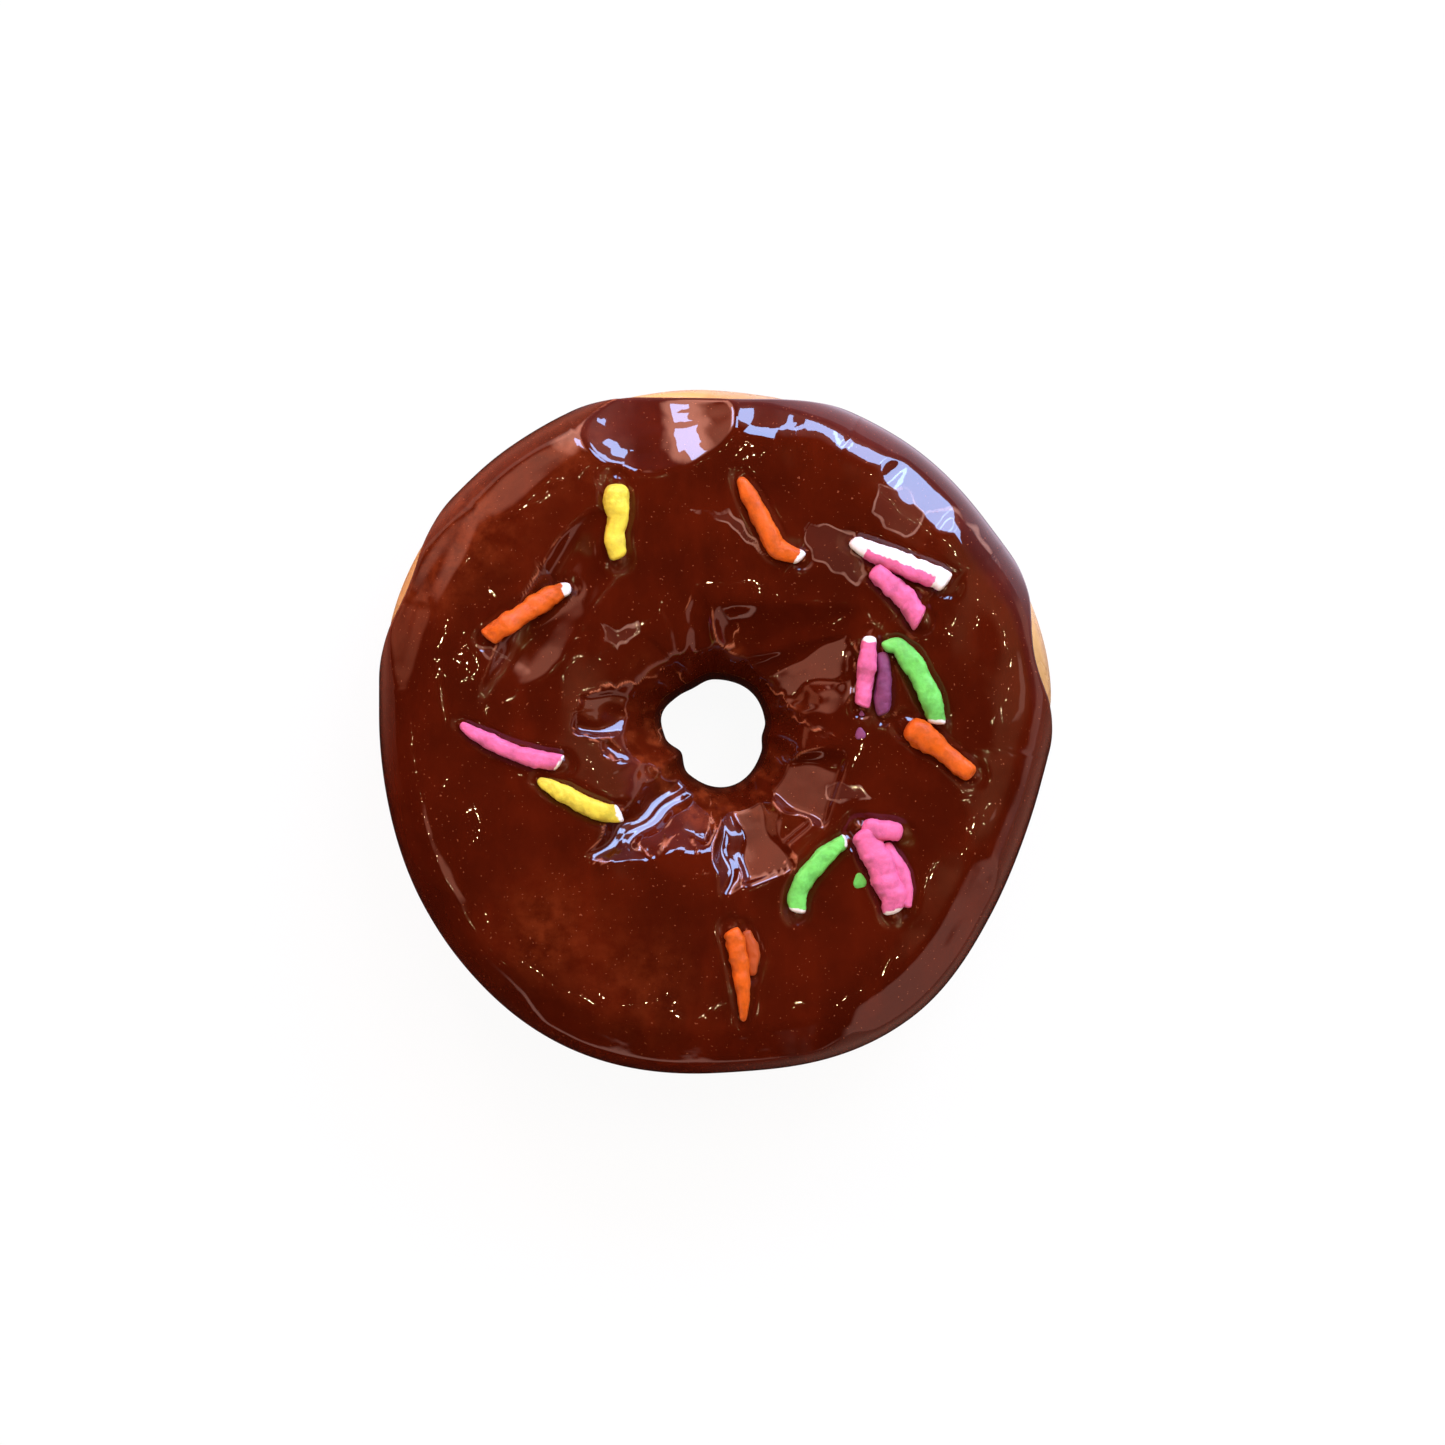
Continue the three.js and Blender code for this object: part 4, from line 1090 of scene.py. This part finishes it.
def paint_material(name, colour, clay):
    """Matt underglaze brushed over white clay, which shows at the ends."""
    n = MaterialNodes(name)
    brushed = n.patches(420, 0.38, 0.72, detail=5, roughness=0.65)
    tone = n.mix(brushed, colour, toned(colour, 0.66))
    edge = n.spread(n.frayed("bare", 0.9, 900), 0.42, 0.58)
    n.link(n.mix(edge, tone, clay), n.shader.inputs["Base Color"])
    n.link(n.patches(500, 0.3, 0.75, 0.42, 0.62), n.shader.inputs["Roughness"])
    n.bump(n.noise(1100, detail=4, roughness=0.6), 0.00012)
    n.set(Specular_IOR_Level=0.3)
    return n.material


# ---- Pieces --------------------------------------------------------------------------------------
def grid_normals(x, y, z):
    """Outward normals of a grid of points that closes round the ring."""
    p = np.stack([x, y, z], axis=-1)
    along = np.roll(p, -1, axis=0) - np.roll(p, 1, axis=0)
    across = np.gradient(p, axis=1)
    normal = np.cross(along, across)
    return normal / np.maximum(np.linalg.norm(normal, axis=-1, keepdims=True), 1e-12)


class DOUGHNUT_OT_dough(bpy.types.Operator):
    """Make the golden dough ring with its flat base"""

    bl_idname = "doughnut.dough"
    bl_label = "Dough Ring"

    def execute(self, context):
        settings = context.scene.doughnut_ring
        ring = Ring(context.scene)
        degrees = round_degrees(settings.stations)
        edge = ring.edge_angle(degrees)
        first = ring.even_angles(edge, THROAT_ANGLE, np.linspace(0, 1, settings.covered_rows)[None, :])
        last = np.linspace(0, 1, settings.bare_rows + 2)[1:-1]
        knots = np.linspace(0, 1, len(BASE_ANGLES) + 1)
        rest = np.array([np.interp(last, knots, [*BASE_ANGLES, e + 360]) for e in edge[:, 0]])
        around = np.concatenate([first, rest], axis=1)
        x, y, z = ring.point(degrees, around, ring.coat)
        piece = add_ring("dough", x, y, z)
        piece.data.materials.append(dough_material(settings))
        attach(piece, "root")
        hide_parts("dough_ring")
        return {"FINISHED"}


class DOUGHNUT_OT_frosting(bpy.types.Operator):
    """Make the pleated frosting with a bed round every sprinkle"""

    bl_idname = "doughnut.frosting"
    bl_label = "Frosting"

    def execute(self, context):
        settings = context.scene.doughnut_frosting
        ring = Ring(context.scene)
        degrees = round_degrees(settings.stations)
        edge = ring.edge_angle(degrees)
        u = np.linspace(0, 1, settings.skin_rows)[None, :]
        skin = ring.even_angles(edge, THROAT_ANGLE, u + ROW_CROWDING * u * (1 - u))
        x, y, z = ring.point(degrees, skin, 0.0)
        top = smooth(skin, *RELIEF_START) * (1 - smooth(skin, *RELIEF_STOP))
        z = z + top * (relief(x, y) + sprinkle_beds(x, y))
        normal = grid_normals(x, y, z)
        thickness = ring.coat - ring.gap
        sunk = thickness * EDGE_SINK * self.roll_edges(x, y, z)
        x, y, z = x - normal[..., 0] * sunk, y - normal[..., 1] * sunk, z - normal[..., 2] * sunk
        back = np.linspace(1, 0, settings.bed_rows)[None, :]
        bed = ring.point(degrees, ring.even_angles(edge, THROAT_ANGLE, back), thickness)
        marks = (
            ("ridge", np.maximum(RIDGE_SHARE * self.bend(x, y, z, normal), crack_marks(x, y)), 0.0),
            ("thin", thin_marks(x, y), 0.0),
            ("rim", dent_marks(x, y)[1], FAR_OFF),
            ("seam", painted_line_marks(x, y), FAR_OFF),
        )
        attributes = {
            key: np.concatenate([over, np.full(bed[0].shape, under)], axis=1) for key, over, under in marks
        }
        loops = (np.concatenate(pair, axis=1) for pair in zip((x, y, z), bed))
        piece = add_ring("frosting", *loops, **attributes)
        piece.data.materials.append(glaze_material(settings))
        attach(piece, "root")
        context.scene["frosting_piece"] = piece.name
        return {"FINISHED"}

    def roll_edges(self, x, y, z):
        """How far the skin rolls in at the frosting's two edges, from 0 to 1."""
        step = np.linalg.norm(np.diff(np.stack([x, y, z], -1), axis=1), axis=-1)
        travelled = np.concatenate([np.zeros((len(x), 1)), np.cumsum(step, axis=1)], axis=1)
        from_edge = np.minimum(travelled, travelled[:, -1:] - travelled)
        rolled = np.clip(1 - from_edge / EDGE_ROLL, 0, 1)
        return 1 - np.sqrt(1 - rolled**2)

    def bend(self, x, y, z, normal):
        """How sharply the skin bends outwards, from 0 on the flat to 1 on a ridge."""
        p = np.stack([x, y, z], axis=-1)
        total = np.zeros(x.shape)
        for axis in (0, 1):
            ahead, behind = np.roll(p, -1, axis), np.roll(p, 1, axis)
            reach = np.linalg.norm(ahead - behind, axis=-1) / 2
            sagging = np.sum((ahead + behind - 2 * p) * normal, axis=-1)
            total -= sagging / np.maximum(reach, SHORTEST_STEP) ** 2
        total[:, :2] = total[:, -2:] = 0
        return np.clip((total - BEND_START) / BEND_RANGE, 0, 1)


class DOUGHNUT_OT_sprinkles(bpy.types.Operator):
    """Roll the clay sprinkles, one piece for each colour"""

    bl_idname = "doughnut.sprinkles"
    bl_label = "Sprinkles"

    def execute(self, context):
        settings = context.scene.doughnut_sprinkles
        ring = Ring(context.scene)
        pieces = []
        for paint in PAINTS:
            rolls = [
                self.roll(ring, settings, name, seed)
                for seed, (name, sprinkle) in enumerate(SPRINKLES.items())
                if sprinkle["paint"] == paint
            ]
            rolls += [self.drop(ring, place, radius) for place, radius, colour in DROPS if colour == paint]
            clear_selection()
            for roll in rolls:
                roll.select_set(True)
            piece = rolls[0]
            bpy.context.view_layer.objects.active = piece
            if len(rolls) > 1:
                bpy.ops.object.join()
            piece.name = piece.data.name = f"{paint}_sprinkles"
            tidy_mesh(piece)
            material = paint_material(f"{paint}_underglaze", getattr(settings, paint), settings.clay)
            piece.data.materials.append(material)
            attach(piece, "root")
            pieces.append(piece)
        for piece in [bpy.data.objects[context.scene["frosting_piece"]], *pieces]:
            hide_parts("frosting")
        return {"FINISHED"}

    def drop(self, ring, place, radius):
        """A flat drop of paint."""
        clear_selection()
        bpy.ops.mesh.primitive_uv_sphere_add(segments=DROP_SIDES, ring_count=DROP_ROWS, radius=radius * MM)
        piece = bpy.context.object
        x, y, z = get_points(piece).T
        wobble = 1 + DROP_WOBBLE * np.sin(3 * np.arctan2(y, x) + place[0])
        x, y = place[0] + x * wobble, place[1] + y * wobble * DROP_LENGTH
        set_points(piece, x, y, ring.skin_height(x, y) + DROP_FLATNESS * z)
        paint_attribute(piece, "bare", np.full(len(x), NOT_BARE))
        return piece

    def roll(self, ring, settings, name, seed):
        """One sprinkle: a sphere primitive drawn out along its path, with blunt ends and finger marks."""
        sprinkle = SPRINKLES[name]
        clear_selection()
        sides, stations = settings.sides, settings.stations
        bpy.ops.mesh.primitive_uv_sphere_add(segments=sides, ring_count=stations, radius=MM)
        piece = bpy.context.object
        piece.name = name
        ball = get_points(piece)
        polar = np.arccos(np.clip(ball[:, 2], -1, 1)) / math.pi
        at = RING_SHARE * polar + (1 - RING_SHARE) * (1 - np.cos(polar * math.pi)) / 2
        around = np.arctan2(ball[:, 1], ball[:, 0])
        line = np.array(curve_points(sprinkle["path"], LINE_POINTS))
        total = float(np.hypot(*np.diff(line, axis=0).T).sum())
        spots = np.linspace(0, 1, LINE_POINTS)
        stops = np.linspace(0, 10, len(sprinkle["width"]))
        widths = [w for _, w in curve_points(list(zip(stops, sprinkle["width"])), LINE_POINTS)]
        width = np.interp(at, spots, widths)
        centre, ahead = (
            np.stack([np.interp(at, spots, values[:, k]) for k in (0, 1)], axis=-1)
            for values in (line, np.gradient(line, axis=0))
        )
        ahead /= np.linalg.norm(ahead, axis=-1, keepdims=True)
        from_ends = (at * total, (1 - at) * total)
        near = np.minimum(*(way / taper for way, taper in zip(from_ends, sprinkle["taper"])))
        blunt = (1 - (1 - np.clip(near, 0, 1)) ** END_RISE) ** (1 / END_ROOT)
        lumps = sum(
            field(kind, at * total + seed * apart, around * girth, seed) for kind, apart, girth in COIL_MARKS
        )
        radius = width / 2 * blunt * (1 + lumps)
        across, up = np.cos(around), np.sin(around)
        power = COIL_SQUARENESS
        square = (np.abs(across) ** power + np.abs(up) ** power) ** (-1 / power)
        aside = radius * square * across
        skew = aside * sum(
            slant * (1 - smooth(way, 0, SLANT_REACH))
            for slant, way in zip(sprinkle.get("slant", NO_SLANT), from_ends)
        )
        x = centre[:, 0] - ahead[:, 1] * aside + ahead[:, 0] * skew
        y = centre[:, 1] + ahead[:, 0] * aside + ahead[:, 1] * skew
        skin = np.interp(at, spots, ring.skin_height(line[:, 0], line[:, 1]))
        middle = skin + sprinkle.get("lift", SPRINKLE_LIFT) * width
        set_points(piece, x, y, middle + radius * square * up * COIL_FLATNESS)
        bare = np.full(len(at), NOT_BARE)
        for reach, way in zip(sprinkle.get("bare", NO_BARE), from_ends):
            if reach:
                bare = np.maximum(bare, BARE_EDGE + (reach - way) * BARE_RISE)
        if "bare_side" in sprinkle:
            bare = np.maximum(bare, SIDE_EDGE + SIDE_RISE * across * sprinkle["bare_side"])
        paint_attribute(piece, "bare", bare)
        return piece


class DOUGHNUT_OT_stage(bpy.types.Operator):
    """Set the pale floor, the soft lights and the camera"""

    bl_idname = "doughnut.stage"
    bl_label = "Stage"

    def execute(self, context):
        settings = context.scene.doughnut_stage
        clear_selection()
        bpy.ops.mesh.primitive_plane_add(size=FLOOR_SIZE)
        floor = bpy.context.object
        floor.name = "floor"
        floor.data.materials.append(floor_material(settings))
        self.world(context)
        soft = (("overhead", OVERHEAD, settings.fill), ("low_left", LOW_LEFT, settings.low_fill))
        for name, place, watts in soft:
            self.lamp(name, place, SOFT_SIZE, SOFT_SIZE, watts, SOFT_COLOUR).visible_glossy = False
        for name, (azimuth, elevation, distance, width, height, watts, colour, fade) in LAMPS.items():
            lamp = self.lamp(name, self.around(azimuth, elevation, distance), width, height, watts, colour)
            if fade:
                self.fade(lamp.data, fade)
        for k, (azimuth, elevation) in enumerate(BULB_ROWS):
            for i in range(BULBS_IN_ROW):
                climb = (i * 7) % 5 * BULB_CLIMB
                place = self.around(azimuth + BULB_TURN * i, elevation + climb, BULB_DISTANCE)
                self.lamp(f"bulb_{k}_{i}", place, BULB_SIZE, BULB_SIZE, BULB_POWER, BULB_COLOUR)
        camera = bpy.data.objects.new("camera", bpy.data.cameras.new("camera"))
        context.collection.objects.link(camera)
        camera.location = (CAMERA_ASIDE, CAMERA_ASIDE, settings.camera_height)
        distance = settings.camera_height - context.scene.doughnut_ring.waist
        camera.data.sensor_width = SENSOR
        camera.data.lens = SENSOR * distance / settings.view_width
        camera.data.clip_start, camera.data.clip_end = CLIP_START, CLIP_END
        context.scene.camera = camera
        context.scene.view_settings.view_transform = "Standard"
        return {"FINISHED"}

    def around(self, azimuth, elevation, distance):
        """A place round the origin, at angles in degrees."""
        a, e = math.radians(azimuth), math.radians(elevation)
        x, y = distance * math.cos(a) * math.cos(e), distance * math.sin(a) * math.cos(e)
        return x, y, distance * math.sin(e)

    def lamp(self, name, place, width, height, watts, colour):
        """A lit panel that faces the origin and that the camera doesn't see."""
        light = bpy.data.lights.new(name, "AREA")
        light.shape = "RECTANGLE"
        light.size, light.size_y = width, height
        light.energy = watts
        light.color = colour
        lamp = bpy.data.objects.new(name, light)
        bpy.context.collection.objects.link(lamp)
        lamp.location = place
        lamp.rotation_euler = (-Vector(place)).to_track_quat("-Z", "Y").to_euler()
        lamp.visible_camera = False
        return lamp

    def fade(self, light, reach):
        """Dims a panel towards its edges, over a share of its width and height."""
        light.use_nodes = True
        n = Nodes(light.node_tree)
        split = n.add("ShaderNodeSeparateXYZ")
        n.link(n.add("ShaderNodeNewGeometry").outputs["Parametric"], split.inputs[0])
        shares = [n.spread(n.math("PINGPONG", split.outputs[axis], 0.5), 0.0, reach) for axis in (0, 1)]
        n.link(n.math("MULTIPLY", *shares), n.tree.nodes["Emission"].inputs["Strength"])

    def world(self, context):
        """A dark ceiling, and a table that is dim lilac on the window's side."""
        world = bpy.data.worlds.new("soft_room")
        world.use_nodes = True
        n = Nodes(world.node_tree)
        dot = n.add("ShaderNodeVectorMath", operation="DOT_PRODUCT")
        dot.inputs[1].default_value = LILAC_WAY
        ramp = n.add("ShaderNodeValToRGB")
        stops = zip(ramp.color_ramp.elements, (0.0, LILAC_FULL), (ROOM_DARK, ROOM_LILAC))
        for stop, position, colour in stops:
            stop.position = position
            stop.color = colour
        n.link(n.add("ShaderNodeTexCoord").outputs["Generated"], dot.inputs[0])
        n.link(dot.outputs["Value"], ramp.inputs["Fac"])
        n.link(ramp.outputs["Color"], n.tree.nodes["Background"].inputs["Color"])
        context.scene.world = world


class DOUGHNUT_PT_panel(bpy.types.Panel):
    """Lists the doughnut's pieces and its stage"""

    bl_idname = "DOUGHNUT_PT_panel"
    bl_label = "Ceramic Doughnut"
    bl_space_type = "VIEW_3D"
    bl_region_type = "UI"
    bl_category = "Doughnut"

    def draw(self, context):
        for operator in OPERATORS:
            self.layout.operator(operator.bl_idname)
        for name, group in SETTINGS.items():
            box = self.layout.box()
            settings = getattr(context.scene, name)
            for key in group.__annotations__:
                box.prop(settings, key)


OPERATORS = (DOUGHNUT_OT_dough, DOUGHNUT_OT_frosting, DOUGHNUT_OT_sprinkles, DOUGHNUT_OT_stage)


def register():
    for group in (*SETTINGS.values(), *OPERATORS, DOUGHNUT_PT_panel):
        bpy.utils.register_class(group)
    for name, group in SETTINGS.items():
        setattr(bpy.types.Scene, name, PointerProperty(type=group))


def unregister():
    for name in SETTINGS:
        delattr(bpy.types.Scene, name)
    for group in reversed((*SETTINGS.values(), *OPERATORS, DOUGHNUT_PT_panel)):
        bpy.utils.unregister_class(group)


def main():
    register()
    bpy.ops.doughnut.dough()
    bpy.ops.doughnut.frosting()
    bpy.ops.doughnut.sprinkles()
    bpy.ops.doughnut.stage()


if __name__ == "__main__":
    main()
